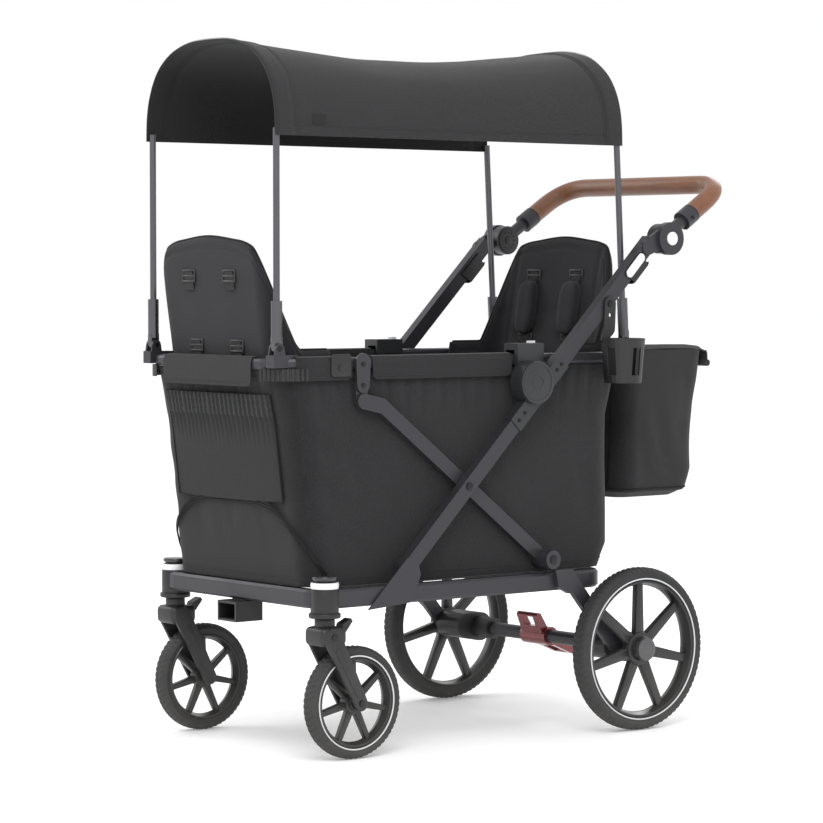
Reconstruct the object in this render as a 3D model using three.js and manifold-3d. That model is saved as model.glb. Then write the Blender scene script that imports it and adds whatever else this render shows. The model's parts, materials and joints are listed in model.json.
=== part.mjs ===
// A folding stroller wagon: an X-framed chassis on two swivel casters and two fixed rear wheels, with a
// fabric basket, two facing seat backs, an arched canopy, a push handle and a socket for a pull handle.
// Millimetres. +Z is up, the casters (front) face -Y, the push handle (rear) faces +Y, +X is the left side.
// Everything is symmetric about x = 0 except the cup holder on the left upright.
import * as THREE from "three";
import { mergeVertices } from "three/addons/utils/BufferGeometryUtils.js";
import Module from "manifold-3d";

const wasm = await Module();
wasm.setup();

// ---------------------------------------------------------------- driving dimensions
const GAP = 0.3; // air left between pieces that touch

// how far the whole wagon moves along Y, so that the origin is under the middle of its box
const CENTRE_Y = 4.5;

// wheels
const REAR_AXLE = { y: 233, z: 145 };
const REAR_WHEEL_X = 268;
const REAR_TYRE = { r: 145, rim: 122, width: 40 };
const FRONT_AXLE = { y: -371, z: 95 };
const CASTER = { x: 219, y: -428, r: 20, bottom: 240, top: 304 };
const FRONT_TYRE = { r: 95, rim: 76, width: 34 };
const REAR_HUB = { hubR: 22, boreR: 8.4, capX: 293, boreTo: 283 };
const FRONT_HUB = { hubR: 15, boreR: 5.4, capX: 236, boreTo: 237 };
const SPOKES = 7;
const CASTER_BUSH_R = 13;

// bottom frame ring and what sits on it
const RING = { x: 236, front: -452, rear: 192, z0: 256, z1: 287, width: 26, corner: 46 };
const FLOOR_Z = 293;
const SEAT_TOP_Z = 345;

// pivots of the X frame in the side view: y and z
const PIVOT_BOTTOM = { y: -261, z: 317 };
const PIVOT_CROSS = { y: -130, z: 447.5 };
const PIVOT_HUB = { y: 15, z: 622.5 };
const PIVOT_TOP = { y: -343, z: 625 };
const PIVOT_REAR = { y: 53, z: 311.5 };
const PIVOT_HANDLE = { y: 334, z: 874 };

// side layers of the X frame, from the basket outwards
const CROSS_X = [206.5, 217.5];
const UPRIGHT_X = [219, 237];
const LEG_X = [236.5, 246.5];
const UPRIGHT_ANGLE = THREE.MathUtils.degToRad(44.8);
const UPRIGHT_HEIGHT = 26;
const CROSS_HEIGHT = 24;

// top rail and canopy
const RAIL = { x: 196, front: -500, rear: 279, z: 662, r: 10, corner: 58 };
const POST = { x: 181, frontY: -498, rearY: 277, pinZ: 688, topZ: 1052, r: 5.6, rearLean: 19 };
const CANOPY = { halfWidth: 191.4, front: -506, rear: 265, edgeZ: 1040, sag: 27, power: 2.6 };
const CANOPY_RISE = { front: 168, rear: 177 };

// the two seat backs
const FRONT_BACK = { y: -486, inward: 1, lean: 0.14, swoop: [0.06, 0.27], sideTop: 684, top: 874 };
const REAR_BACK = { y: 264, inward: -1, lean: 0.18, swoop: [0.08, 0.28], sideTop: 684, top: 877 };

// push handle
const HANDLE = { x: 220, angle: THREE.MathUtils.degToRad(33), reach: 185, corner: 66, barR: 11.4, gripR: 17 };
const COLLAR_AT = [58, 84];

// ---------------------------------------------------------------- geometry helpers
const position = (geometry) => geometry.getAttribute("position");

function weld(geometry) {
  const bare = geometry.clone();
  bare.deleteAttribute("normal");
  bare.deleteAttribute("uv");
  return mergeVertices(bare, 1e-4);
}

function toManifold(geometry) {
  const welded = weld(geometry);
  return new wasm.Manifold(
    new wasm.Mesh({
      numProp: 3,
      vertProperties: new Float32Array(position(welded).array),
      triVerts: new Uint32Array(welded.index.array),
    }),
  );
}

function toGeometry(solid) {
  const mesh = solid.getMesh();
  const geometry = new THREE.BufferGeometry();
  geometry.setAttribute("position", new THREE.BufferAttribute(new Float32Array(mesh.vertProperties), 3));
  geometry.setIndex(new THREE.BufferAttribute(new Uint32Array(mesh.triVerts), 1));
  return geometry;
}

const join = (...geometries) => toGeometry(geometries.map(toManifold).reduce((a, b) => a.add(b)));
const cut = (geometry, ...tools) =>
  toGeometry(tools.map(toManifold).reduce((a, b) => a.subtract(b), toManifold(geometry)));

// The mirror image in x = 0, with its faces turned back outwards.
function mirrored(geometry) {
  const copy = weld(geometry);
  copy.scale(-1, 1, 1);
  const index = copy.index.array;
  for (let i = 0; i < index.length; i += 3) [index[i], index[i + 1]] = [index[i + 1], index[i]];
  return copy;
}

function block([x0, x1], [y0, y1], [z0, z1]) {
  const box = new THREE.BoxGeometry(x1 - x0, y1 - y0, z1 - z0);
  return box.translate((x0 + x1) / 2, (y0 + y1) / 2, (z0 + z1) / 2);
}

// Cylinders along X and Z. at holds the other two coordinates.
function rodX(r, [x0, x1], at, sides = 24) {
  const rod = new THREE.CylinderGeometry(r, r, x1 - x0, sides).rotateZ(Math.PI / 2);
  return rod.translate((x0 + x1) / 2, at.y, at.z);
}

function rodZ(r, [z0, z1], at, sides = 24, topR = r) {
  const rod = new THREE.CylinderGeometry(topR, r, z1 - z0, sides).rotateX(Math.PI / 2);
  return rod.translate(at.x, at.y, (z0 + z1) / 2);
}

// A flat plate: an outline of [y, z] points, or a THREE.Shape in y and z, as thick as the x range.
function plateX(outline, [x0, x1], curveSegments = 6) {
  const drawn = outline instanceof THREE.Shape;
  const shape = drawn ? outline : new THREE.Shape(outline.map((p) => new THREE.Vector2(...p)));
  const plate = new THREE.ExtrudeGeometry(shape, { depth: x1 - x0, bevelEnabled: false, curveSegments });
  // extruded along Z: turn (X, Y, Z) into (Y, Z, X)
  return plate.applyMatrix4(new THREE.Matrix4().set(0, 0, 1, x0, 1, 0, 0, 0, 0, 1, 0, 0, 0, 0, 0, 1));
}

// Points of an arc about the origin, from one angle to another.
function arcPoints(r, from, to, steps) {
  return Array.from({ length: steps + 1 }, (_, i) => {
    const t = from + ((to - from) * i) / steps;
    return new THREE.Vector2(r * Math.cos(t), r * Math.sin(t));
  });
}

const circlePoints = (r, sides) => arcPoints(r, 0, 2 * Math.PI, sides).slice(0, -1);

// A bar with round ends between two points of the side view, with its own radius at each end.
function linkShape(a, b, ra, rb = ra, steps = 8) {
  const along = Math.atan2(b.z - a.z, b.y - a.y);
  const slope = Math.asin((ra - rb) / Math.hypot(b.y - a.y, b.z - a.z));
  const quarter = Math.PI / 2;
  const end = ({ y, z }, r, from, to) =>
    arcPoints(r, from, to, steps).map((p) => p.add(new THREE.Vector2(y, z)));
  return new THREE.Shape([
    ...end(a, ra, along + quarter - slope, along + 3 * quarter + slope),
    ...end(b, rb, along - quarter + slope, along + quarter - slope),
  ]);
}

// A round tube along a curve, hollow where innerR is given.
function tubeAlong(curve, steps, r, sides = 14, innerR = 0) {
  const section = new THREE.Shape();
  section.absarc(0, 0, r, 0, 2 * Math.PI, false);
  if (innerR) {
    const bore = new THREE.Path();
    bore.absarc(0, 0, innerR, 0, 2 * Math.PI, true);
    section.holes.push(bore);
  }
  const options = { steps, extrudePath: curve, curveSegments: Math.round(sides / 2) };
  return new THREE.ExtrudeGeometry(section, options);
}

function roundedRect(path, x, y0, y1, r) {
  path.moveTo(x, y0 + r);
  path.lineTo(x, y1 - r);
  path.absarc(x - r, y1 - r, r, 0, Math.PI / 2, false);
  path.lineTo(-x + r, y1);
  path.absarc(-x + r, y1 - r, r, Math.PI / 2, Math.PI, false);
  path.lineTo(-x, y0 + r);
  path.absarc(-x + r, y0 + r, r, Math.PI, 1.5 * Math.PI, false);
  path.lineTo(x - r, y0);
  path.absarc(x - r, y0 + r, r, 1.5 * Math.PI, 2 * Math.PI, false);
  return path;
}

// A rail bent into a rounded rectangle in plan, its section rounded by a bevel.
function railRing({ x, y0, y1, corner, z0, z1, width, bevel, bevelSegments }) {
  const inset = (d) => [x - d, y0 + d, y1 - d, corner - d];
  const shape = roundedRect(new THREE.Shape(), ...inset(bevel));
  shape.holes.push(roundedRect(new THREE.Path(), ...inset(width - bevel)));
  const ring = new THREE.ExtrudeGeometry(shape, {
    depth: z1 - z0 - 2 * bevel,
    bevelThickness: bevel,
    bevelSize: bevel,
    bevelSegments,
    curveSegments: 5,
  });
  return ring.translate(0, 0, z0 + bevel);
}

// A body of rings of equal point count, one above the other, closed by flat fans at both ends.
function loft(rings) {
  const count = rings[0].length;
  const points = rings.flat();
  const index = [];
  for (let ring = 0; ring + 1 < rings.length; ring++) {
    for (let i = 0; i < count; i++) {
      const a = ring * count + i;
      const b = ring * count + ((i + 1) % count);
      index.push(a, b, b + count, a, b + count, a + count);
    }
  }
  const cap = (ring, flip) => {
    const middle = new THREE.Vector3();
    rings[ring].forEach((p) => middle.addScaledVector(p, 1 / count));
    points.push(middle);
    for (let i = 0; i < count; i++) {
      const a = ring * count + i;
      const b = ring * count + ((i + 1) % count);
      index.push(...(flip ? [points.length - 1, b, a] : [points.length - 1, a, b]));
    }
  };
  cap(0, true);
  cap(rings.length - 1, false);
  const geometry = new THREE.BufferGeometry().setFromPoints(points);
  geometry.setIndex(index);
  return geometry;
}

// A ring of points for loft: a rounded rectangle in plan at height z.
function planRing({ x, y0, y1, corner, z }, perCorner = 5) {
  const ring = [];
  const corners = [[1, 1, 0], [-1, 1, 1], [-1, -1, 2], [1, -1, 3]];
  for (const [sx, sy, quarter] of corners) {
    for (let i = 0; i < perCorner; i++) {
      const t = ((quarter + i / (perCorner - 1)) * Math.PI) / 2;
      const cy = sy > 0 ? y1 - corner : y0 + corner;
      ring.push(new THREE.Vector3(sx * (x - corner) + corner * Math.cos(t), cy + corner * Math.sin(t), z));
    }
  }
  return ring;
}

// A cloth vessel open at the top: outer rings upwards, then the inner ones back down to its floor.
function vessel(outer, wall, floor) {
  const inner = outer
    .map((ring) => ({
      ...ring,
      x: ring.x - wall,
      y0: ring.y0 + wall,
      y1: ring.y1 - wall,
      corner: ring.corner - wall,
    }))
    .reverse();
  inner[inner.length - 1].z += floor;
  return loft([...outer, ...inner].map((ring) => planRing(ring)));
}

// A thin curved sheet with thickness: at(u, v) gives the outer surface and its outward normal is +side.
function sheet(at, columns, rows, thickness) {
  const points = [];
  for (const layer of [0, 1]) {
    for (let r = 0; r <= rows; r++) {
      for (let c = 0; c <= columns; c++) points.push(at(c / columns, r / rows, layer * thickness));
    }
  }
  const id = (layer, r, c) => layer * (rows + 1) * (columns + 1) + r * (columns + 1) + c;
  const index = [];
  const quad = (a, b, c, d) => index.push(a, b, c, a, c, d);
  for (let r = 0; r < rows; r++) {
    for (let c = 0; c < columns; c++) {
      quad(id(0, r, c), id(0, r, c + 1), id(0, r + 1, c + 1), id(0, r + 1, c));
      quad(id(1, r, c), id(1, r + 1, c), id(1, r + 1, c + 1), id(1, r, c + 1));
    }
  }
  for (let c = 0; c < columns; c++) {
    quad(id(0, 0, c), id(1, 0, c), id(1, 0, c + 1), id(0, 0, c + 1));
    quad(id(0, rows, c + 1), id(1, rows, c + 1), id(1, rows, c), id(0, rows, c));
  }
  for (let r = 0; r < rows; r++) {
    quad(id(0, r + 1, 0), id(1, r + 1, 0), id(1, r, 0), id(0, r, 0));
    quad(id(0, r, columns), id(1, r, columns), id(1, r + 1, columns), id(0, r + 1, columns));
  }
  const geometry = new THREE.BufferGeometry().setFromPoints(points);
  geometry.setIndex(index);
  return geometry;
}

// ---------------------------------------------------------------- materials
const finish = (color, roughness, metalness) =>
  new THREE.MeshStandardMaterial({ color, roughness, metalness });
const MATERIAL = {
  frame: finish(0x46454e, 0.5, 0.35),
  plastic: finish(0x2e2e32, 0.6, 0),
  fabric: finish(0x26262a, 0.95, 0),
  lining: finish(0x1f1e22, 0.95, 0),
  rubber: finish(0x2c2c2e, 0.85, 0),
  rim: finish(0x222224, 0.55, 0),
  leather: finish(0x8f5a3f, 0.6, 0),
  red: finish(0x8c2a2c, 0.35, 0.6),
  white: finish(0xf2f2f2, 0.4, 0),
  steel: finish(0x6e6f74, 0.35, 0.9),
};

// Everything below is placed from the middle of the wheelbase's own layout; this centres it on the origin.
const wagon = new THREE.Group();
wagon.position.y = CENTRE_Y;

function add(name, geometry, material) {
  const mesh = new THREE.Mesh(geometry, MATERIAL[material]);
  mesh.name = name;
  wagon.add(mesh);
}

// One piece on the left and its mirror image on the right.
function addPair(name, geometry, material) {
  add(`${name}_left`, geometry, material);
  add(`${name}_right`, mirrored(geometry), material);
}

// A point of the upright's own line: along it from the bottom pivot, and off it (positive is up and forward).
function onUpright(along, off = 0) {
  const c = Math.cos(UPRIGHT_ANGLE);
  const s = Math.sin(UPRIGHT_ANGLE);
  return { y: PIVOT_BOTTOM.y + along * c - off * s, z: PIVOT_BOTTOM.z + along * s + off * c };
}

const outlineOf = (...corners) => corners.map(({ y, z }) => [y, z]);

// ---------------------------------------------------------------- chassis
function bottomFrame() {
  const ring = railRing({
    x: RING.x,
    y0: RING.front,
    y1: RING.rear,
    corner: RING.corner,
    z0: RING.z0,
    z1: RING.z1,
    width: RING.width,
    bevel: 4,
    bevelSegments: 1,
  });
  const inside = RING.x - RING.width + 2;
  const crossbar = (y) => block([-inside, inside], [y - 12, y + 12], [RING.z0 + 5, RING.z1 - 5]);
  const boss = rodZ(CASTER.r + 0.6, [RING.z0, RING.z1], CASTER, 28);
  const bore = rodZ(CASTER_BUSH_R + GAP, [RING.z0 - 1, RING.z1 + 1], CASTER, 20);
  const solid = join(ring, crossbar(-230), crossbar(60), boss, mirrored(boss));
  return cut(solid, bore, mirrored(bore));
}

// The bearing cup of one caster: a bush through the frame's corner boss, a barrel below it and a cap above.
function casterHousing() {
  const { r, bottom, top } = CASTER;
  const bush = rodZ(CASTER_BUSH_R, [bottom + 4, top - 6], CASTER, 20);
  const barrel = rodZ(r, [bottom + 6, RING.z0 - GAP], CASTER, 28);
  const flange = rodZ(r + 2.5, [bottom, bottom + 8], CASTER, 28);
  const head = rodZ(r, [RING.z1 + GAP, top - 4], CASTER, 28);
  const cap = rodZ(r - 1.5, [top - 5, top], CASTER, 28, r - 4);
  const bore = rodZ(9, [bottom - 1, top - 16], CASTER, 16);
  return cut(join(bush, barrel, flange, head, cap), bore);
}

function pullHandleReceiver() {
  const outside = block([-27, 27], [-472, -416], [219, 253.5]);
  const socket = block([-23, 23], [-473, -422], [223, 249.5]);
  const lug = block([-20, 20], [-446, -428], [250, RING.z0 - GAP]);
  return cut(join(outside, lug), socket);
}

function uprightBracket() {
  const p = PIVOT_BOTTOM;
  const [x0, x1] = UPRIGHT_X;
  const outline = [[-352, 250], [-262, 257], [-240, 302], [-243.5, 316]];
  for (let i = 1; i <= 7; i++) {
    const t = (i * 21 * Math.PI) / 180;
    outline.push([p.y + 17 * Math.cos(t), p.z + 17 * Math.sin(t)]);
  }
  const outer = plateX(outline, [x1 + GAP, x1 + 3.5]);
  const inner = plateX(linkShape({ y: p.y, z: RING.z1 + 8 }, p, 8, 14), [x0 - 4.5, x0 - 1]);
  const web = block([x0 - 4.5, x1 + 3.5], [p.y - 30, p.y + 16], [RING.z1 + GAP, RING.z1 + 7]);
  return join(outer, inner, web);
}

function rearLeg() {
  const knee = { y: 100, z: 268 };
  const foot = { y: 199, z: 152 };
  const shin = plateX(linkShape(knee, foot, 13), LEG_X);
  const casting = plateX([[58, 293.3], [66, 262], [90, 250], [112, 272], [98, 293.3]], LEG_X);
  return join(shin, casting);
}

function rearAxleTube() {
  return rodX(12.5, [-128, 128], REAR_AXLE, 20);
}

function brakeHousing() {
  const { y, z } = REAR_AXLE;
  const side = linkShape({ y: y - 28, z: z + 3 }, { y: y + 4, z }, 24, 27, 10);
  const body = plateX(side, [172, LEG_X[0] - GAP]);
  const neck = rodX(20, [128 + GAP, 174], REAR_AXLE, 24);
  const stub = rodX(8, [LEG_X[0] - 1, REAR_WHEEL_X + 14], REAR_AXLE, 16);
  return join(body, neck, stub);
}

function basketShell() {
  return vessel(
    [
      { x: 203, y0: -440, y1: 216, corner: 42, z: RING.z1 + 1 },
      { x: 204, y0: -450, y1: 240, corner: 46, z: 330 },
      { x: 204.5, y0: -478, y1: 240, corner: 50, z: 560 },
      { x: 203, y0: -494, y1: 262, corner: 54, z: 630 },
      { x: 200, y0: -503, y1: 278, corner: 58, z: RAIL.z - RAIL.r - 1 },
    ],
    3,
    3,
  );
}

function floorBoard() {
  const ring = (z) => planRing({ x: 196, y0: -434, y1: 208, corner: 36, z });
  return loft([ring(FLOOR_Z), ring(FLOOR_Z + 6)]);
}

function seatPad(y0, y1) {
  const ring = (z, inset) =>
    planRing({ x: 192 - inset, y0: y0 + inset, y1: y1 - inset, corner: 34 - inset, z }, 4);
  return loft([
    ring(FLOOR_Z + 6.4, 8),
    ring(FLOOR_Z + 14, 0),
    ring(SEAT_TOP_Z - 8, 0),
    ring(SEAT_TOP_Z, 10),
  ]);
}

// ---------------------------------------------------------------- wheels
function tyre({ r, rim, width }, centreX, axle, segments) {
  const half = width / 2;
  const profile = [
    [rim, -half * 0.7],
    [rim + (r - rim) * 0.4, -half],
    [r - 5, -half * 0.8],
    [r, 0],
    [r - 5, half * 0.8],
    [rim + (r - rim) * 0.4, half],
    [rim, half * 0.7],
    [rim, -half * 0.7],
  ].map((p) => new THREE.Vector2(...p));
  const turned = new THREE.LatheGeometry(profile, segments);
  return turned.rotateZ(-Math.PI / 2).translate(centreX, axle.y, axle.z);
}

// A wheel disc with windows between its spokes and a round cap over the outer end of the hub.
function spokedRim({ rim, width }, { hubR, boreR, capX, boreTo }, centreX, axle, sides) {
  const shape = new THREE.Shape(circlePoints(rim - 2.5, sides));
  const outer = rim - 12;
  const inner = hubR + 4;
  const pitch = (2 * Math.PI) / SPOKES;
  for (let i = 0; i < SPOKES; i++) {
    const middle = (i + 0.5) * pitch;
    const wide = pitch / 2 - 6 / outer;
    const narrow = pitch / 2 - 6 / inner;
    const far = arcPoints(outer, middle - wide, middle + wide, 4);
    const near = arcPoints(inner, middle + narrow, middle - narrow, 1);
    shape.holes.push(new THREE.Path([...far, ...near]));
  }
  shape.holes.push(new THREE.Path(circlePoints(boreR, 14)));
  const depth = width * 0.55;
  const disc = new THREE.ExtrudeGeometry(shape, { depth, bevelEnabled: false });
  disc.translate(0, 0, -depth / 2).rotateY(Math.PI / 2).translate(centreX, axle.y, axle.z);
  const cap = rodX(hubR, [centreX + depth / 2 - 1, capX], axle, 20);
  const boreInCap = rodX(boreR, [centreX - depth, boreTo], axle, 14);
  return cut(join(disc, cap), boreInCap);
}

// ---------------------------------------------------------------- swivel casters
function casterFork() {
  const { x, y, bottom } = CASTER;
  const crownZ = [194, 226];
  const stem = rodZ(8.6, [crownZ[1] - 2, CASTER.top - 18], { x, y }, 16);
  const collar = rodZ(17, [crownZ[1] - 2, bottom - GAP], { x, y }, 24);
  const crown = block([x - 27.5, x + 27.5], [y - 24, y + 28], crownZ);
  const arm = linkShape({ y: y - 4, z: 208 }, FRONT_AXLE, 17, 13, 8);
  const inside = FRONT_TYRE.width / 2 + 3;
  const sides = [[x + inside, x + inside + 7.5], [x - inside - 7.5, x - inside]];
  const arms = sides.map((span) => plateX(arm, span));
  const axle = rodX(5, [x - inside - 1, x + inside + 1], FRONT_AXLE, 14);
  return join(stem, collar, crown, ...arms, axle);
}

function swivelLockLever() {
  const { x, y } = CASTER;
  const outline = [[y + 32, 213], [y + 38, 215], [y + 52, 232], [y + 49, 237], [y + 32, 229], [y + 29.5, 222]];
  return plateX(outline, [x - 9, x + 9]);
}

// ---------------------------------------------------------------- brake pedal
function brakePedal() {
  const { y, z } = REAR_AXLE;
  const clamp = rodX(17.5, [-34, 34], REAR_AXLE, 24);
  const front = linkShape({ y: y - 6, z: z + 4 }, { y: y - 24, z: z + 38 }, 9, 6, 6);
  const rear = linkShape({ y: y + 4, z: z - 4 }, { y: y + 62, z: z - 32 }, 9, 6, 6);
  const solid = join(clamp, plateX(front, [-28, 28]), plateX(rear, [-28, 28]));
  const bore = rodX(12.5 + GAP, [-35, 35], REAR_AXLE, 20);
  const frontLoop = block([-16, 16], [y - 60, y + 10], [z + 19, z + 36]);
  const rearLoop = block([-16, 16], [y + 22, y + 56], [z - 60, z + 20]);
  return cut(solid, bore, frontLoop, rearLoop);
}

// ---------------------------------------------------------------- uprights and handle
const HUB_AT = 411;
const SOCKET_AT = [HUB_AT - 82, HUB_AT + 74];
const PIVOT_END_AT = 784;

function uprightTube(from, to, x = UPRIGHT_X, height = UPRIGHT_HEIGHT) {
  const h = height / 2;
  return plateX(outlineOf(onUpright(from, -h), onUpright(to, -h), onUpright(to, h), onUpright(from, h)), x);
}

function uprightLower() {
  const foot = plateX(linkShape(PIVOT_BOTTOM, onUpright(60), UPRIGHT_HEIGHT / 2), UPRIGHT_X);
  return join(foot, uprightTube(20, HUB_AT - 30));
}

// The cast hub clamps the two tubes and carries the round cover over the fold pivot.
function foldHub() {
  const sleeve = uprightTube(...SOCKET_AT, [UPRIGHT_X[0] - 0.6, UPRIGHT_X[1] + 2], UPRIGHT_HEIGHT + 4);
  const drum = rodX(38, [UPRIGHT_X[0] - 0.6, UPRIGHT_X[1] + 9], PIVOT_HUB, 36);
  const grown = [UPRIGHT_X[0] - GAP, UPRIGHT_X[1] + GAP];
  const lower = uprightTube(SOCKET_AT[0] - 5, HUB_AT - 30 + GAP, grown, UPRIGHT_HEIGHT + 2 * GAP);
  const upper = uprightTube(HUB_AT + 30 - GAP, SOCKET_AT[1] + 5, grown, UPRIGHT_HEIGHT + 2 * GAP);
  return cut(join(sleeve, drum), lower, upper);
}

function uprightUpper() {
  const p = PIVOT_HANDLE;
  const neck = linkShape(onUpright(PIVOT_END_AT - 16), { y: p.y - 6, z: p.z + 6 }, 14, 18);
  const casting = plateX(neck, [232, 239]);
  const housing = rodX(29.5, [232, 246], p, 32);
  const pocket = rodX(12.4, [239, 247], p, 24);
  return cut(join(uprightTube(HUB_AT + 30, PIVOT_END_AT), casting, housing), pocket);
}

const handleButton = () => rodX(12, [243.5, 248.5], PIVOT_HANDLE, 24);

// A squeeze trigger that wraps the underside of the upper tube.
function foldTrigger() {
  const [x0, x1] = UPRIGHT_X;
  const h = UPRIGHT_HEIGHT / 2;
  const pill = (x, low, high) => {
    const ends = [onUpright(700, low), onUpright(744, low), onUpright(750, high), onUpright(694, high)];
    return plateX(outlineOf(...ends), x);
  };
  return join(
    pill([x1 + GAP, x1 + 2.6], -h - 8, h - 8),
    pill([x0 - 2.6, x0 - GAP], -h - 8, h - 8),
    pill([x0 - 2.6, x1 + 2.6], -h - 8.4, -h - 5.6),
  );
}

const CUP = { x: 253.5, y: 209, bottom: 618, top: 697, r: 39.5, baseR: 33, wall: 3 };

// A windowed cup that hangs from a rivet on the left tube by a strap with a hole in it.
function cupHolder() {
  const { x, y, bottom, top, r, baseR, wall } = CUP;
  const outside = [[0, bottom], [baseR, bottom], [r, top]];
  const inside = [[r - wall, top], [baseR - wall, bottom + wall], [0, bottom + wall]];
  const cup = new THREE.LatheGeometry([...outside, ...inside].map((p) => new THREE.Vector2(...p)), 28);
  cup.rotateX(Math.PI / 2).translate(x, y, 0);
  const strapX = [UPRIGHT_X[1] + 0.5, UPRIGHT_X[1] + 4.5];
  const rivet = { y: 190, z: 758 };
  const bend = { y: 188, z: 714 };
  const strap = plateX(linkShape(rivet, bend, 13), strapX);
  const foot = plateX(linkShape(bend, { y: 176, z: 694 }, 13, 6), strapX);
  const hole = rodX(4, [strapX[0] - 1, strapX[1] + 1], { y: rivet.y, z: rivet.z - 20 }, 12);
  const window = (turn) => {
    const opening = block([r - 12, r + 4], [-9, 9], [bottom + 14, top - 16]);
    return opening.rotateZ(turn).translate(x, y, 0);
  };
  return cut(join(cup, strap, foot), hole, ...[-1.35, 0, 1.35].map(window));
}

// The handle's own axis runs from the pivot at HANDLE.angle; d is the distance along it.
function onHandle(d, x) {
  const { angle } = HANDLE;
  return new THREE.Vector3(x, PIVOT_HANDLE.y + d * Math.cos(angle), PIVOT_HANDLE.z + d * Math.sin(angle));
}

function handleCurve(from) {
  const { x, reach, corner } = HANDLE;
  const bend = (...points) => new THREE.QuadraticBezierCurve3(...points);
  const curve = new THREE.CurvePath();
  curve.add(new THREE.LineCurve3(onHandle(from, x), onHandle(reach - corner, x)));
  curve.add(bend(onHandle(reach - corner, x), onHandle(reach, x), onHandle(reach, x - corner)));
  curve.add(new THREE.LineCurve3(onHandle(reach, x - corner), onHandle(reach, corner - x)));
  curve.add(bend(onHandle(reach, corner - x), onHandle(reach, -x), onHandle(reach - corner, -x)));
  curve.add(new THREE.LineCurve3(onHandle(reach - corner, -x), onHandle(from, -x)));
  return curve;
}

// One spline through points of the bent bar, so that both tubes follow the same line.
function handleSpline(from) {
  const points = handleCurve(from).getSpacedPoints(40);
  return new THREE.CatmullRomCurve3(points, false, "centripetal");
}

function handlebar() {
  const { x } = HANDLE;
  const bar = tubeAlong(handleSpline(24), 30, HANDLE.barR, 10);
  const halves = [1, -1].map((side) => {
    const hubX = [side * x - 11.6, side * x + 11.6];
    const boss = rodX(27, hubX, PIVOT_HANDLE, 32);
    const sleeve = new THREE.CylinderGeometry(18, 18, COLLAR_AT[1] - COLLAR_AT[0], 20);
    sleeve.rotateX(HANDLE.angle);
    const centre = onHandle((COLLAR_AT[0] + COLLAR_AT[1]) / 2, side * x);
    return join(boss, sleeve.translate(centre.x, centre.y, centre.z));
  });
  return join(bar, ...halves);
}

function grip() {
  return tubeAlong(handleSpline(COLLAR_AT[1] + GAP), 28, HANDLE.gripR, 10, HANDLE.barR + 1);
}

// ---------------------------------------------------------------- cross arms
function crossArm() {
  const lowerEnd = PIVOT_REAR;
  const upperEnd = { y: -303, z: 589 };
  const arm = plateX(linkShape(upperEnd, { y: 40, z: 325 }, CROSS_HEIGHT / 2), CROSS_X);
  const elbow = plateX(linkShape({ y: PIVOT_TOP.y, z: 598 }, upperEnd, 13), CROSS_X);
  const lap = linkShape(PIVOT_TOP, { y: PIVOT_TOP.y, z: 600 }, 12.5);
  const tongue = plateX(lap, [CROSS_X[0] - 2, 210.8]);
  const boss = rodX(16.5, [CROSS_X[0], LEG_X[1]], lowerEnd, 28);
  return join(arm, elbow, tongue, boss);
}

// ---------------------------------------------------------------- top rail
// A clevis that stands on the rail, for the foot of one canopy post.
function canopyBracket(y, front) {
  const { x, pinZ } = POST;
  const base = block([x - 11, x + 11], front ? [y - 14, y + 34] : [y - 34, y + 20], [RAIL.z - 6, pinZ - 11]);
  const ear = linkShape({ y, z: pinZ - 14 }, { y, z: pinZ }, 11, 9, 6);
  const ears = [[x - 10, x - 6.3], [x + 6.3, x + 10]].map((span) => plateX(ear, span));
  return join(base, ...ears);
}

function topRail() {
  const ring = railRing({
    x: RAIL.x + RAIL.r,
    y0: RAIL.front - RAIL.r,
    y1: RAIL.rear + RAIL.r,
    corner: RAIL.corner + RAIL.r,
    z0: RAIL.z - RAIL.r,
    z1: RAIL.z + RAIL.r,
    width: 2 * RAIL.r,
    bevel: 6,
    bevelSegments: 2,
  });
  const brackets = [canopyBracket(POST.frontY, true), canopyBracket(POST.rearY, false)];
  const p = PIVOT_TOP;
  const plate = plateX(linkShape({ y: p.y, z: RAIL.z + 2 }, p, 15, 13), [211.3, 215.5]);
  const spacer = block([RAIL.x + RAIL.r - 2, 212], [p.y - 12, p.y + 12], [RAIL.z - 7, RAIL.z + 7]);
  const left = [...brackets, plate, spacer];
  return join(ring, ...left, ...left.map(mirrored));
}

function railSlider() {
  const h = PIVOT_HUB;
  const y = [h.y - 20, h.y + 40];
  const plate = plateX(
    [[y[0], 690], [y[0], h.z - 8], [h.y - 12, h.z - 22], [h.y + 12, h.z - 22], [y[1], h.z + 16], [y[1], 690]],
    [207.6, 216.9],
  );
  const cap = block([180, 216.9], y, [678.5, 690]);
  const lip = block([180, 184.6], y, [664, 680]);
  const pocket = block([190.7, 201.3], [h.y + 22, h.y + 34], [683, 691]);
  return cut(join(plate, cap, lip), pocket);
}

const latchButton = () => block([191, 201], [PIVOT_HUB.y + 22.3, PIVOT_HUB.y + 33.7], [687, 694]);

// Fabric flaps that hang over the outside of the rail.
const railCoverSide = () => block([207.4, 210.4], [-318, -12], [634, 676]);
const railCoverFront = () => block([-128, 128], [-515, -511.5], [622, 680]);

// ---------------------------------------------------------------- seat backs
// A padded shell that follows the inside of the rail round its corners and leans outwards above it. Its top
// edge is level across the back and swoops down along each side to the rail, between the two places of swoop,
// which are parts of the shell's length. inward is the way from the back to the seat, 1 for +Y.
const SHELL = { halfWidth: 168, corner: 44, wing: 70, bottom: 642, leanFrom: 668, thickness: 14 };

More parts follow.
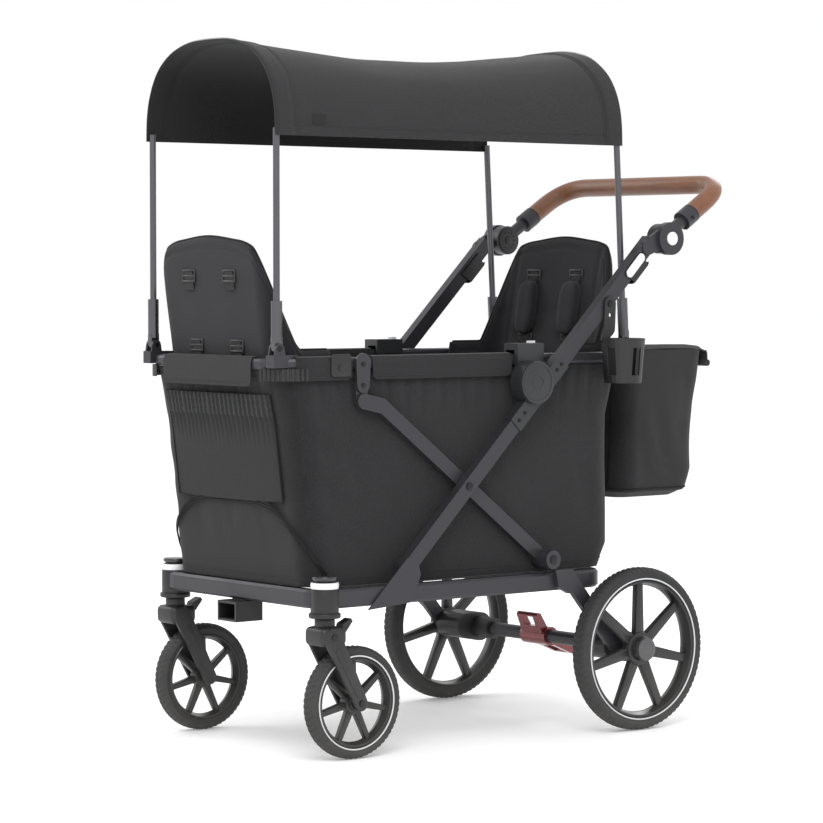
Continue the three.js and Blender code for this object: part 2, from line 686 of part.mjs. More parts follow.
function seatBack({ y, inward, lean, swoop, sideTop, top }) {
  const { halfWidth, corner, wing, bottom, leanFrom, thickness } = SHELL;
  const path = new THREE.Path();
  path.moveTo(-halfWidth, corner + wing);
  path.lineTo(-halfWidth, corner);
  path.absarc(-halfWidth + corner, corner, corner, Math.PI, 1.5 * Math.PI, false);
  path.lineTo(halfWidth - corner, 0);
  path.absarc(halfWidth - corner, corner, corner, 1.5 * Math.PI, 2 * Math.PI, false);
  path.lineTo(halfWidth, corner + wing);
  const { lerp, smoothstep } = THREE.MathUtils;
  const at = (u, v, inset) => {
    const p = path.getPointAt(u);
    const along = path.getTangentAt(u);
    const fromEnd = Math.min(u, 1 - u);
    const shoulder = lerp(sideTop, top - 10, smoothstep(fromEnd, ...swoop));
    const z = lerp(bottom, shoulder + 10 * smoothstep(fromEnd, swoop[1], 0.5), v);
    const across = p.x - along.y * inset;
    const back = p.y + along.x * inset - lean * Math.max(0, z - leanFrom);
    return new THREE.Vector3(across * inward, y + back * inward, z);
  };
  return sheet(at, 24, 3, thickness);
}

function rearBag() {
  const rings = [
    { x: 150, y0: 306, y1: 470, corner: 30, z: 406 },
    { x: 160, y0: 300, y1: 484, corner: 34, z: 452 },
    { x: 164, y0: 298, y1: 492, corner: 34, z: 600 },
    { x: 166, y0: 296, y1: 498, corner: 30, z: 672 },
  ];
  return vessel(rings, 3, 4);
}

// ---------------------------------------------------------------- canopy
function canopyPost(y, lean) {
  const { x, pinZ, topZ, r } = POST;
  const up = (z) => new THREE.Vector3(x, y - (lean * (z - pinZ)) / (topZ - pinZ), z);
  const rod = (from, to, radius) => tubeAlong(new THREE.LineCurve3(up(from), up(to)), 1, radius, 14);
  const foot = plateX(linkShape({ y, z: pinZ }, { y, z: pinZ + 18 }, 8, 8, 6), [x - 5.9, x + 5.9]);
  return join(foot, rod(pinZ + 12, 767, 9.5), rod(760, topZ, r));
}

// One sheet arched over the posts, its two ends higher than its middle.
function canopyCover() {
  const { halfWidth, edgeZ, power, front, rear, sag } = CANOPY;
  const { lerp } = THREE.MathUtils;
  const arch = (value) => Math.sign(value) * Math.abs(value) ** (2 / power);
  const at = (u, v, inset) => {
    const turn = Math.PI * (1 - u);
    const between = Math.sin(Math.PI * v);
    const w = halfWidth - inset - 6 * between * Math.sin(turn);
    const h = lerp(CANOPY_RISE.front, CANOPY_RISE.rear, v) - inset - sag * between;
    const y = lerp(front, rear, v);
    return new THREE.Vector3(w * arch(Math.cos(turn)), y, edgeZ + h * arch(Math.sin(turn)));
  };
  return sheet(at, 16, 6, 3.5);
}

// ---------------------------------------------------------------- assembly
add("bottom_frame", bottomFrame(), "frame");
add("floor_board", floorBoard(), "plastic");
add("pull_handle_receiver", pullHandleReceiver(), "plastic");
addPair("upright_bracket", uprightBracket(), "frame");
addPair("caster_housing", casterHousing(), "plastic");
addPair("rear_leg", rearLeg(), "frame");
add("rear_axle_tube", rearAxleTube(), "frame");
addPair("brake_housing", brakeHousing(), "plastic");
add("basket_shell", basketShell(), "fabric");
add("seat_pad_front", seatPad(-430, -200), "lining");
add("seat_pad_rear", seatPad(-10, 204), "lining");

addPair("rear_tyre", tyre(REAR_TYRE, REAR_WHEEL_X, REAR_AXLE, 36), "rubber");
addPair("rear_rim", spokedRim(REAR_TYRE, REAR_HUB, REAR_WHEEL_X, REAR_AXLE, 36), "rim");
addPair("front_tyre", tyre(FRONT_TYRE, CASTER.x, FRONT_AXLE, 28), "rubber");
addPair("front_rim", spokedRim(FRONT_TYRE, FRONT_HUB, CASTER.x, FRONT_AXLE, 28), "rim");
addPair("caster_fork", casterFork(), "plastic");
addPair("swivel_lock_lever", swivelLockLever(), "plastic");
add("brake_pedal", brakePedal(), "red");

addPair("upright_lower", uprightLower(), "frame");
addPair("fold_hub", foldHub(), "plastic");
addPair("upright_upper", uprightUpper(), "frame");
addPair("handle_button", handleButton(), "white");
addPair("fold_trigger", foldTrigger(), "white");
add("cup_holder", cupHolder(), "plastic");
add("handlebar", handlebar(), "frame");
add("handle_grip", grip(), "leather");

addPair("cross_arm", crossArm(), "frame");
add("top_rail", topRail(), "frame");
addPair("rail_slider", railSlider(), "plastic");
addPair("latch_button", latchButton(), "white");
addPair("rail_cover", railCoverSide(), "fabric");
add("rail_cover_front", railCoverFront(), "fabric");
add("seat_back_front", seatBack(FRONT_BACK), "lining");
add("seat_back_rear", seatBack(REAR_BACK), "lining");
add("rear_bag", rearBag(), "fabric");

addPair("canopy_post_front", canopyPost(POST.frontY, 0), "steel");
addPair("canopy_post_rear", canopyPost(POST.rearY, POST.rearLean), "steel");
add("canopy_cover", canopyCover(), "fabric");

export default wagon;
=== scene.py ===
# %% [markdown]
# A folding stroller wagon, dressed for its portrait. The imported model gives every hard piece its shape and
# place. Each step below adds one thing that the hard model leaves plain: cloth, tyres, grip, trim or finish.

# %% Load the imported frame
import json
import math

import bpy
from mathutils import Matrix, Vector, noise

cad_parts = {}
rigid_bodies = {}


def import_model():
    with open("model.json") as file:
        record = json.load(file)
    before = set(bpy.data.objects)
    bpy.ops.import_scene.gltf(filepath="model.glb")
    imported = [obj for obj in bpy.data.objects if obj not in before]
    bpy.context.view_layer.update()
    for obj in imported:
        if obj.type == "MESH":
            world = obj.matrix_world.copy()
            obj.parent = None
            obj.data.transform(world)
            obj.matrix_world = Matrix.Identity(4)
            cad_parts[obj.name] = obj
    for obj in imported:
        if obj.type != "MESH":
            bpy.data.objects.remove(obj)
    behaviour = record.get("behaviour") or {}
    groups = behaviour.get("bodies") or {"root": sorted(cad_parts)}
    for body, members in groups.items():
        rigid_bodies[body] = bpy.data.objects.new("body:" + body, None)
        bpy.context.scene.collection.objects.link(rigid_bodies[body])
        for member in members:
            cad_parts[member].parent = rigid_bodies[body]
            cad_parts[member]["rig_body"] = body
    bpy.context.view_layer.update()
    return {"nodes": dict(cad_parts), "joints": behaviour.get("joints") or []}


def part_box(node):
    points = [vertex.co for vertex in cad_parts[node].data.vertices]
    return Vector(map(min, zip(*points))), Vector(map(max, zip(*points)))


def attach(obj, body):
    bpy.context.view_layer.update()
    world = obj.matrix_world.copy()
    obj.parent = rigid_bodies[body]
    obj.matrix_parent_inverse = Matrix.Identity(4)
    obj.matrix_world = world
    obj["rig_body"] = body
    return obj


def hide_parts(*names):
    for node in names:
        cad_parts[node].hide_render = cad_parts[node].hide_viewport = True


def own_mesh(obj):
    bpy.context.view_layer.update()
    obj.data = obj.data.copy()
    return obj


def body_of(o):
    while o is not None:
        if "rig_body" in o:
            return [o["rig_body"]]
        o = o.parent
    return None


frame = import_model()
pivot = {j["name"]: Vector(j["pos_m"]) for j in frame["joints"] if "pos_m" in j}
SIDES = {"left": 1, "right": -1}
print("frame loaded:", len(frame["nodes"]), "nodes")

# %% [markdown]
# The camera is a long lens a little above the basket, looking down the wagon's diagonal from the front left.
# A long lens keeps both wheel pairs nearly the same size, as in a catalogue. It is placed by what it aims at,
# so each number has one plain meaning: aim, turn, tilt, distance and lens.

# %% Camera
AIM = Vector((0.038, -0.094, 0.568))
CAMERA_TURN = math.radians(51.34)
CAMERA_TILT = math.radians(2.58)
CAMERA_DISTANCE = 5.6
LENS_MM = 138.7


def add_camera():
    back = Vector((
        math.sin(CAMERA_TURN) * math.cos(CAMERA_TILT),
        -math.cos(CAMERA_TURN) * math.cos(CAMERA_TILT),
        math.sin(CAMERA_TILT),
    ))
    bpy.ops.object.camera_add(location=AIM + back * CAMERA_DISTANCE)
    camera = bpy.context.object
    camera.rotation_euler = (math.pi / 2 - CAMERA_TILT, 0, CAMERA_TURN)
    camera.data.lens = LENS_MM
    camera.data.sensor_width = 36
    bpy.context.scene.camera = camera


add_camera()
print("camera at", tuple(round(value, 3) for value in bpy.context.scene.camera.location))

# %% [markdown]
# The studio is a pale floor with a large soft light over it and a weaker one from the other side. The
# world is nearly white, so that dark cloth still shows its folds. The plain Standard view keeps greys honest.

# %% Floor and lights
FLOOR_SIZE = 60


def area_light(name, at, size, power):
    bpy.ops.object.light_add(type="AREA", location=at)
    light = bpy.context.object
    light.name = name
    light.data.size = size
    light.data.energy = power
    light.rotation_euler = (Vector((0, 0, 0.6)) - Vector(at)).to_track_quat("-Z", "Y").to_euler()


def add_studio():
    bpy.ops.mesh.primitive_plane_add(size=FLOOR_SIZE)
    floor = bpy.context.object
    floor.name = "studio_floor"
    pale = bpy.data.materials.new("pale_floor")
    pale.use_nodes = True
    shader = pale.node_tree.nodes["Principled BSDF"]
    shader.inputs["Base Color"].default_value = (0.9, 0.9, 0.9, 1)
    shader.inputs["Roughness"].default_value = 0.9
    shader.inputs["Emission Color"].default_value = (1, 1, 1, 1)
    shader.inputs["Emission Strength"].default_value = 0.16
    floor.data.materials.append(pale)
    world = bpy.data.worlds.new("studio")
    world.use_nodes = True
    world.node_tree.nodes["Background"].inputs["Color"].default_value = (1, 1, 1, 1)
    world.node_tree.nodes["Background"].inputs["Strength"].default_value = 1.0
    bpy.context.scene.world = world
    bpy.context.scene.view_settings.view_transform = "Standard"
    area_light("key_light", (2.6, -2.2, 3.6), 2.4, 95)
    area_light("fill_light", (-3.0, -1.5, 2.4), 2.0, 30)
    area_light("rim_light", (-1.5, 3.2, 2.8), 2.0, 45)


add_studio()
print("studio: floor, world and three lights")

# %% [markdown]
# Effects that several finishes share are node groups. Each gives out only a value that changes over the
# surface, and the shader stays in the material. Weave crosses two sets of threads. Speckle is the salt and
# pepper of yarn dyed in two greys. Grain is the fine dimple of moulded plastic and powder coat. Wear finds
# edges by comparing the true normal with a rounded one. Dust gathers low down.

# %% Shared node groups


def new_group(name, inputs, outputs):
    group = bpy.data.node_groups.new(name, "ShaderNodeTree")
    for label, kind in inputs:
        group.interface.new_socket(label, in_out="INPUT", socket_type=kind)
    for label in outputs:
        group.interface.new_socket(label, in_out="OUTPUT", socket_type="NodeSocketFloat")
    entry = group.nodes.new("NodeGroupInput")
    leave = group.nodes.new("NodeGroupOutput")
    return group, entry, leave


def math_node(tree, operation, a, b=None, clamp=False):
    node = tree.nodes.new("ShaderNodeMath")
    node.operation = operation
    node.use_clamp = clamp
    for socket, value in zip(node.inputs, (a, b)):
        if value is None:
            continue
        if isinstance(value, (int, float)):
            socket.default_value = value
        else:
            tree.links.new(value, socket)
    return node.outputs[0]


def noise_node(tree, vector, scale, detail=2.0, roughness=0.5):
    node = tree.nodes.new("ShaderNodeTexNoise")
    node.inputs["Detail"].default_value = detail
    node.inputs["Roughness"].default_value = roughness
    tree.links.new(vector, node.inputs["Vector"])
    if isinstance(scale, (int, float)):
        node.inputs["Scale"].default_value = scale
    else:
        tree.links.new(scale, node.inputs["Scale"])
    return node.outputs["Fac"]


def build_weave():
    kinds = [("Vector", "NodeSocketVector"), ("Threads", "NodeSocketFloat")]
    group, entry, leave = new_group("weave", kinds, ("Height", "Speckle"))
    split = group.nodes.new("ShaderNodeSeparateXYZ")
    group.links.new(entry.outputs["Vector"], split.inputs[0])
    x, y, z = split.outputs
    across = math_node(group, "ADD", x, y)
    slant = math_node(group, "MULTIPLY", math_node(group, "SUBTRACT", x, y), 0.31)
    along = math_node(group, "ADD", z, slant)
    warp = math_node(group, "SINE", math_node(group, "MULTIPLY", across, entry.outputs["Threads"]))
    weft = math_node(group, "SINE", math_node(group, "MULTIPLY", along, entry.outputs["Threads"]))
    crossing = math_node(group, "MULTIPLY", warp, weft)
    slub = noise_node(group, entry.outputs["Vector"], 160, 2.0)
    group.links.new(math_node(group, "ADD", crossing, slub), leave.inputs["Height"])
    coarse = noise_node(group, entry.outputs["Vector"], 420, 3.0, 0.75)
    group.links.new(coarse, leave.inputs["Speckle"])
    return group


def build_grain():
    kinds = [("Vector", "NodeSocketVector"), ("Scale", "NodeSocketFloat")]
    group, entry, leave = new_group("grain", kinds, ("Height", "Mottle"))
    fine = noise_node(group, entry.outputs["Vector"], entry.outputs["Scale"], 2.0)
    broad = noise_node(group, entry.outputs["Vector"], 9.0, 3.0)
    group.links.new(fine, leave.inputs["Height"])
    group.links.new(broad, leave.inputs["Mottle"])
    return group


def build_wear():
    kinds = [("Vector", "NodeSocketVector"), ("Radius", "NodeSocketFloat")]
    group, entry, leave = new_group("edge_wear", kinds, ("Mask",))
    bevel = group.nodes.new("ShaderNodeBevel")
    bevel.samples = 3
    group.links.new(entry.outputs["Radius"], bevel.inputs["Radius"])
    geometry = group.nodes.new("ShaderNodeNewGeometry")
    dot = group.nodes.new("ShaderNodeVectorMath")
    dot.operation = "DOT_PRODUCT"
    group.links.new(bevel.outputs[0], dot.inputs[0])
    group.links.new(geometry.outputs["Normal"], dot.inputs[1])
    edge = math_node(group, "SUBTRACT", 1.0, dot.outputs["Value"])
    patchy = noise_node(group, entry.outputs["Vector"], 60, 3.0, 0.7)
    strong = math_node(group, "MULTIPLY", edge, 4.0)
    group.links.new(math_node(group, "MULTIPLY", strong, patchy, clamp=True), leave.inputs["Mask"])
    return group


def build_dust():
    group, entry, leave = new_group("dust", [("Vector", "NodeSocketVector")], ("Mask",))
    split = group.nodes.new("ShaderNodeSeparateXYZ")
    group.links.new(entry.outputs["Vector"], split.inputs[0])
    low = math_node(group, "SUBTRACT", 1.0, math_node(group, "MULTIPLY", split.outputs[2], 4.0), clamp=True)
    patchy = noise_node(group, entry.outputs["Vector"], 35, 4.0, 0.65)
    group.links.new(math_node(group, "MULTIPLY", low, patchy, clamp=True), leave.inputs["Mask"])
    return group


GROUPS = {"weave": build_weave(), "grain": build_grain(), "wear": build_wear(), "dust": build_dust()}
print("node groups:", sorted(GROUPS))

# %% [markdown]
# A finish starts from a colour and a roughness, and each recipe lays its shared effects over them. Cloth takes
# the weave as bump and its speckle as colour. Hard finishes take grain as bump, wear on edges and dust near the
# ground. Plain numbers, such as sheen, are set straight on the shader.

# %% Finish recipes


def place_group(material, name, vector, **values):
    node = material.node_tree.nodes.new("ShaderNodeGroup")
    node.node_tree = GROUPS[name]
    material.node_tree.links.new(vector, node.inputs["Vector"])
    for label, value in values.items():
        node.inputs[label].default_value = value
    return node.outputs


def new_finish(name, roughness):
    material = bpy.data.materials.new(name)
    material.use_nodes = True
    tree = material.node_tree
    shader = tree.nodes["Principled BSDF"]
    shader.inputs["Roughness"].default_value = roughness
    place = tree.nodes.new("ShaderNodeTexCoord").outputs["Object"]
    return material, tree, shader, place


def blend_colours(tree, share, a, b):
    mix = tree.nodes.new("ShaderNodeMix")
    mix.data_type = "RGBA"
    tree.links.new(share, mix.inputs["Factor"])
    for socket, value in ((mix.inputs["A"], a), (mix.inputs["B"], b)):
        if isinstance(value, tuple):
            socket.default_value = (*value, 1)
        else:
            tree.links.new(value, socket)
    return mix.outputs["Result"]


def remap(tree, value, low, high, to_low, to_high):
    node = tree.nodes.new("ShaderNodeMapRange")
    tree.links.new(value, node.inputs["Value"])
    for label, number in zip(("From Min", "From Max", "To Min", "To Max"), (low, high, to_low, to_high)):
        node.inputs[label].default_value = number
    return node.outputs["Result"]


def bump(tree, shader, height, strength, distance):
    node = tree.nodes.new("ShaderNodeBump")
    node.inputs["Strength"].default_value = strength
    node.inputs["Distance"].default_value = distance
    tree.links.new(height, node.inputs["Height"])
    tree.links.new(node.outputs[0], shader.inputs["Normal"])


def cloth(name, dark, light, threads=4200, sheen=0.12, lift=0.0006):
    material, tree, shader, place = new_finish(name, 0.92)
    height, speckle = place_group(material, "weave", place, Threads=threads)
    fleck = remap(tree, speckle, 0.36, 0.64, 0, 1)
    faded = noise_node(tree, place, 6, 3.0)
    base = blend_colours(tree, fleck, dark, light)
    soft = blend_colours(tree, remap(tree, faded, 0.3, 0.7, 0, 0.35), base, light)
    tree.links.new(soft, shader.inputs["Base Color"])
    shader.inputs["Sheen Weight"].default_value = sheen
    shader.inputs["Sheen Roughness"].default_value = 0.5
    shader.inputs["Specular IOR Level"].default_value = 0.25
    bump(tree, shader, height, 0.5, lift)
    return material


def moulded(name, colour, roughness=0.5, grain=900, metallic=0.0, wear=0.5, coat=0.0, worn=None):
    material, tree, shader, place = new_finish(name, roughness)
    height, mottle = place_group(material, "grain", place, Scale=grain)
    edges = place_group(material, "wear", place, Radius=0.0012)[0]
    dirt = place_group(material, "dust", place)[0]
    worn = worn or tuple(min(1, c * 1.8 + 0.03) for c in colour)
    deep = tuple(c * 0.85 for c in colour)
    base = blend_colours(tree, mottle, deep, colour)
    edged = blend_colours(tree, math_node(tree, "MULTIPLY", edges, wear), base, worn)
    dusty = blend_colours(tree, math_node(tree, "MULTIPLY", dirt, 0.16), edged, (0.32, 0.3, 0.27))
    tree.links.new(dusty, shader.inputs["Base Color"])
    shader.inputs["Metallic"].default_value = metallic
    shader.inputs["Coat Weight"].default_value = coat
    rough = remap(tree, mottle, 0.3, 0.7, roughness - 0.06, roughness + 0.08)
    tree.links.new(rough, shader.inputs["Roughness"])
    bump(tree, shader, height, 0.25, 0.0003)
    return material


# %% The finishes
FINISH = {
    "powder_coat": moulded("powder_coat", (0.040, 0.039, 0.046), 0.40, 1400, metallic=0.35, wear=0.35),
    "black_plastic": moulded("black_plastic", (0.012, 0.012, 0.013), 0.44, 1000, wear=0.3),
    "hub_plastic": moulded("hub_plastic", (0.020, 0.021, 0.023), 0.40, 1000, wear=0.3),
    "caster_gloss": moulded("caster_gloss", (0.03, 0.03, 0.034), 0.22, 500, coat=0.3),
    "white_plastic": moulded("white_plastic", (0.83, 0.83, 0.84), 0.32, 700, wear=0.1, coat=0.2),
    "red_lacquer": moulded("red_lacquer", (0.20, 0.022, 0.030), 0.25, 600, metallic=0.45, coat=0.6),
    "satin_steel": moulded("satin_steel", (0.13, 0.13, 0.14), 0.3, 1600, metallic=0.9, wear=0.2),
    "dark_screw": moulded("dark_screw", (0.035, 0.035, 0.04), 0.28, 1600, metallic=0.85, wear=0.4),
    "tyre_rubber": moulded("tyre_rubber", (0.021, 0.021, 0.022), 0.72, 420, wear=0.2),
    "rim_plastic": moulded("rim_plastic", (0.012, 0.012, 0.013), 0.34, 800, wear=0.3),
    "cap_grey": moulded("cap_grey", (0.075, 0.075, 0.08), 0.33, 800),
    "reflector": moulded("reflector", (0.72, 0.73, 0.75), 0.35, 600, wear=0.0),
    "canopy_cloth": cloth("canopy_cloth", (0.013, 0.013, 0.014), (0.026, 0.026, 0.028)),
    # A darker copy of the canopy cloth for the canopy's inside faces: painted shade under the canopy.
    "canopy_inside_painted_shade": cloth("canopy_inside_painted_shade", (0.006, 0.006, 0.007), (0.011, 0.011, 0.012)),
    "basket_cloth": cloth("basket_cloth", (0.008, 0.008, 0.009), (0.021, 0.021, 0.023)),
    "front_cloth": cloth("front_cloth", (0.007, 0.007, 0.008), (0.017, 0.017, 0.018)),
    "seat_cloth": cloth("seat_cloth", (0.009, 0.008, 0.010), (0.018, 0.017, 0.020), 3600, lift=0.0008),
    "bag_cloth": cloth("bag_cloth", (0.012, 0.012, 0.013), (0.026, 0.026, 0.028)),
    "band_cloth": cloth("band_cloth", (0.013, 0.013, 0.014), (0.026, 0.026, 0.028), 5200),
    "webbing": cloth("webbing", (0.007, 0.007, 0.007), (0.015, 0.015, 0.016), 2600, lift=0.001),
    "piping": cloth("piping", (0.006, 0.006, 0.006), (0.011, 0.011, 0.012), 6000, sheen=0.05),
    "thread": moulded("thread", (0.035, 0.035, 0.037), 0.8, 900, wear=0.0),
    "tan_thread": moulded("tan_thread", (0.34, 0.19, 0.11), 0.7, 900, wear=0.0),
}
print("finishes:", len(FINISH))

# %% [markdown]
# Leatherette and pocket mesh need recipes of their own. Leatherette is a pebble of small cells with darker
# valleys. Pocket mesh is a net: round holes in rows, dark where the eye falls through to the cloth behind.

# %% Leatherette and net


def leatherette():
    material, tree, shader, place = new_finish("leatherette", 0.42)
    pebble = tree.nodes.new("ShaderNodeTexVoronoi")
    pebble.feature = "SMOOTH_F1"
    pebble.inputs["Scale"].default_value = 520
    tree.links.new(place, pebble.inputs["Vector"])
    cells = pebble.outputs["Distance"]
    patches = noise_node(tree, place, 14, 4.0, 0.6)
    shade = remap(tree, patches, 0.3, 0.7, 0, 1)
    base = blend_colours(tree, shade, (0.155, 0.055, 0.022), (0.25, 0.10, 0.048))
    pebbled = blend_colours(tree, remap(tree, cells, 0.2, 0.75, 0, 0.5), base, (0.10, 0.035, 0.016))
    tree.links.new(pebbled, shader.inputs["Base Color"])
    tree.links.new(remap(tree, patches, 0.3, 0.7, 0.36, 0.52), shader.inputs["Roughness"])
    shader.inputs["Coat Weight"].default_value = 0.12
    bump(tree, shader, math_node(tree, "SUBTRACT", 1.0, cells), 0.35, 0.0004)
    return material


NET_PITCH = 0.0042


def pocket_net():
    material, tree, shader, place = new_finish("pocket_net", 0.85)
    split = tree.nodes.new("ShaderNodeSeparateXYZ")
    tree.links.new(place, split.inputs[0])
    pitch = 2 * math.pi / NET_PITCH
    across = math_node(tree, "SINE", math_node(tree, "MULTIPLY", split.outputs[0], pitch))
    up = math_node(tree, "SINE", math_node(tree, "MULTIPLY", split.outputs[2], pitch))
    cord_height = math_node(tree, "MULTIPLY", across, up)
    holes = remap(tree, cord_height, 0.05, 0.4, 0, 1)
    cord_colour, hole_colour = (0.020, 0.020, 0.021), (0.004, 0.004, 0.004)
    tree.links.new(blend_colours(tree, holes, cord_colour, hole_colour), shader.inputs["Base Color"])
    bump(tree, shader, math_node(tree, "SUBTRACT", 1.0, cord_height), 0.6, 0.0008)
    return material


FINISH["leatherette"] = leatherette()
FINISH["pocket_net"] = pocket_net()
print("finishes with recipes of their own: leatherette, pocket_net")

# %% [markdown]
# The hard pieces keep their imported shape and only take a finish. The list goes by the start of a node's name,
# so both sides of a pair match.

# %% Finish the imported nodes
NODE_FINISH = {
    "bottom_frame": "powder_coat", "upright_": "powder_coat", "rear_leg": "powder_coat",
    "rear_axle": "powder_coat", "cross_arm": "powder_coat", "top_rail": "powder_coat",
    "handlebar": "powder_coat", "fold_hub": "hub_plastic", "caster_housing": "black_plastic",
    "pull_handle": "black_plastic", "brake_housing": "black_plastic", "caster_fork": "black_plastic",
    "swivel_lock": "black_plastic", "rail_slider": "hub_plastic", "cup_holder": "black_plastic",
    "floor_board": "seat_cloth", "brake_pedal": "red_lacquer", "handle_button": "white_plastic",
    "fold_trigger": "black_plastic", "latch_button": "white_plastic", "canopy_post": "satin_steel",
}
for start, finish in NODE_FINISH.items():
    for node_name, node in frame["nodes"].items():
        if node_name.startswith(start):
            node.data.materials.clear()
            node.data.materials.append(FINISH[finish])
print("packed nodes finished by", len(NODE_FINISH), "rules")

# %% [markdown]
# Every new piece ends the same way: its place goes into its mesh, it gets a name, a finish and a body to ride
# on, and its rounded faces are shaded smooth. A few small makers cover most hardware: a turned rod, a plate
# cut from an outline, a ring spun from a profile, and a sheet whose points are moved over a formula.

# %% Makers


def select_only(piece):
    bpy.ops.object.select_all(action="DESELECT")
    piece.select_set(True)
    bpy.context.view_layer.objects.active = piece


def apply_modifier(piece, kind, **settings):
    select_only(piece)
    modifier = piece.modifiers.new(kind.lower(), kind)
    for key, value in settings.items():
        setattr(modifier, key, value)
    bpy.ops.object.modifier_apply(modifier=modifier.name)


def settle(piece, name, finish, body, angle=40):
    select_only(piece)
    bpy.ops.object.transform_apply(location=True, rotation=True, scale=True)
    bpy.ops.object.shade_smooth_by_angle(angle=math.radians(angle))
    piece.name = name
    piece.data.name = name
    piece.data.materials.clear()
    piece.data.materials.append(FINISH[finish])
    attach(piece, body)
    return piece


def joined(pieces):
    bpy.ops.object.select_all(action="DESELECT")
    for piece in pieces:
        piece.select_set(True)
    bpy.context.view_layer.objects.active = pieces[0]
    bpy.ops.object.join()
    return pieces[0]


def rod(radius, length, at, axis, sides=28, bevel=0.0006):
    turn = Vector(axis).to_track_quat("Z", "Y").to_euler()
    bpy.ops.mesh.primitive_cylinder_add(
        vertices=sides, radius=radius, depth=length, location=at, rotation=turn)
    piece = bpy.context.object
    if bevel:
        apply_modifier(piece, "BEVEL", width=bevel, segments=2, limit_method="ANGLE")
    return piece


print("basic makers ready")

# %% [markdown]
# Flat hardware is cut from an outline and given a thickness. Cloth and turned parts start as a grid: each point
# of the grid is sent to its place by a formula, so one maker serves a canopy and a wheel rim alike.

# %% Makers of plates, sheets and turned parts


def plate(outline, x0, x1, bevel=0.0008):
    """A plate cut to an outline of (y, z) points and as thick as x0 to x1, with eased edges."""
    bpy.ops.mesh.primitive_circle_add(vertices=len(outline), fill_type="NGON")
    piece = bpy.context.object
    for vertex, (y, z) in zip(piece.data.vertices, outline):
        vertex.co = (x0, y, z)
    bpy.ops.object.mode_set(mode="EDIT")
    bpy.ops.mesh.select_all(action="SELECT")
    bpy.ops.mesh.extrude_region_move(TRANSFORM_OT_translate={"value": (x1 - x0, 0, 0)})
    bpy.ops.mesh.select_all(action="SELECT")
    bpy.ops.mesh.normals_make_consistent(inside=False)
    bpy.ops.object.mode_set(mode="OBJECT")
    if bevel:
        apply_modifier(piece, "BEVEL", width=bevel, segments=2, limit_method="ANGLE")
    return piece


def capsule(a, b, ra, rb, steps=10):
    """Outline of a bar with round ends, between two (y, z) points."""
    along = math.atan2(b[1] - a[1], b[0] - a[0])
    points = []
    for (y, z), r, start in ((a, ra, along + math.pi / 2), (b, rb, along - math.pi / 2)):
        for i in range(steps + 1):
            turn = start + math.pi * i / steps
            points.append((y + r * math.cos(turn), z + r * math.sin(turn)))
    return points


def sheet(columns, rows, place, close=False):
    """A grid whose points go where place(u, v) says, both from 0 to 1. close joins the two ends of u."""
    bpy.ops.mesh.primitive_grid_add(x_subdivisions=columns, y_subdivisions=rows, size=1)
    piece = bpy.context.object
    for vertex in piece.data.vertices:
        vertex.co = place(vertex.co.x + 0.5, vertex.co.y + 0.5)
    bpy.ops.object.mode_set(mode="EDIT")
    bpy.ops.mesh.select_all(action="SELECT")
    if close:
        bpy.ops.mesh.remove_doubles(threshold=0.00001)
    bpy.ops.object.mode_set(mode="OBJECT")
    return piece


def turned(profile, centre, columns=64):
    """A closed (x, radius) profile spun about the line along X through centre."""
    loop = [*profile, profile[0]]

    def place(u, v):
        at = v * (len(loop) - 1)
        i = min(int(at), len(loop) - 2)
        x, r = (loop[i][k] + (loop[i + 1][k] - loop[i][k]) * (at - i) for k in (0, 1))
        turn = 2 * math.pi * u
        return Vector((centre[0] + x, centre[1] + r * math.cos(turn), centre[2] + r * math.sin(turn)))

    piece = sheet(columns, len(loop) - 1, place, close=True)
    return outward(piece)


def outward(piece):
    select_only(piece)
    bpy.ops.object.mode_set(mode="EDIT")
    bpy.ops.mesh.select_all(action="SELECT")
    bpy.ops.mesh.remove_doubles(threshold=0.00001)
    bpy.ops.mesh.normals_make_consistent(inside=False)
    bpy.ops.object.mode_set(mode="OBJECT")
    return piece


print("plate, sheet and turned makers ready")

# %% [markdown]
# Piping, grips and stitches follow lines. A line becomes a round bar through a curve's bevel, and a stitch is one
# short thread copied along the line. The smallest helpers, for easing and slow ripples, are here too.

# %% Makers of lines, stitches and ripples


def tube(points, radius, closed=False, sides=6, smooth=True):
    """A round cord or bar along points, made from a curve and turned into a mesh."""
    curve = bpy.data.curves.new("line", "CURVE")
    curve.dimensions = "3D"
    curve.bevel_depth = radius
    curve.bevel_resolution = max(0, sides // 2 - 2)
    curve.use_fill_caps = True
    line = curve.splines.new("NURBS" if smooth else "POLY")
    line.points.add(len(points) - 1)
    for spot, point in zip(line.points, points):
        spot.co = (*point, 1)
    line.use_cyclic_u = closed
    if smooth:
        line.order_u = 3
        line.use_endpoint_u = not closed
        line.resolution_u = 3
    piece = bpy.data.objects.new("line", curve)
    bpy.context.scene.collection.objects.link(piece)
    select_only(piece)
    bpy.ops.object.convert(target="MESH")
    return bpy.context.object


def copies(model, places):
    """Copies of a model at each matrix, joined into one mesh. The model itself is removed."""
    made = []
    for place in places:
        copy = model.copy()
        copy.data = model.data.copy()
        copy.matrix_world = place @ model.matrix_world
        bpy.context.scene.collection.objects.link(copy)
        made.append(copy)
    bpy.data.objects.remove(model)
    return joined(made)


def about_x(centre, turn):
    to = Matrix.Translation(centre)
    return to @ Matrix.Rotation(turn, 4, "X") @ to.inverted()


def smoothstep(value, low, high):
    t = max(0.0, min(1.0, (value - low) / (high - low)))
    return t * t * (3 - 2 * t)


def mix(a, b, t):
    return a + (b - a) * t


def ripple(point, scale, seed=0.0):
    """Slow wander between -1 and 1, the same on every run."""
    x, y, z = (c * scale for c in point)
    return noise.noise(Vector((x + seed, y - seed, z + 2 * seed)))


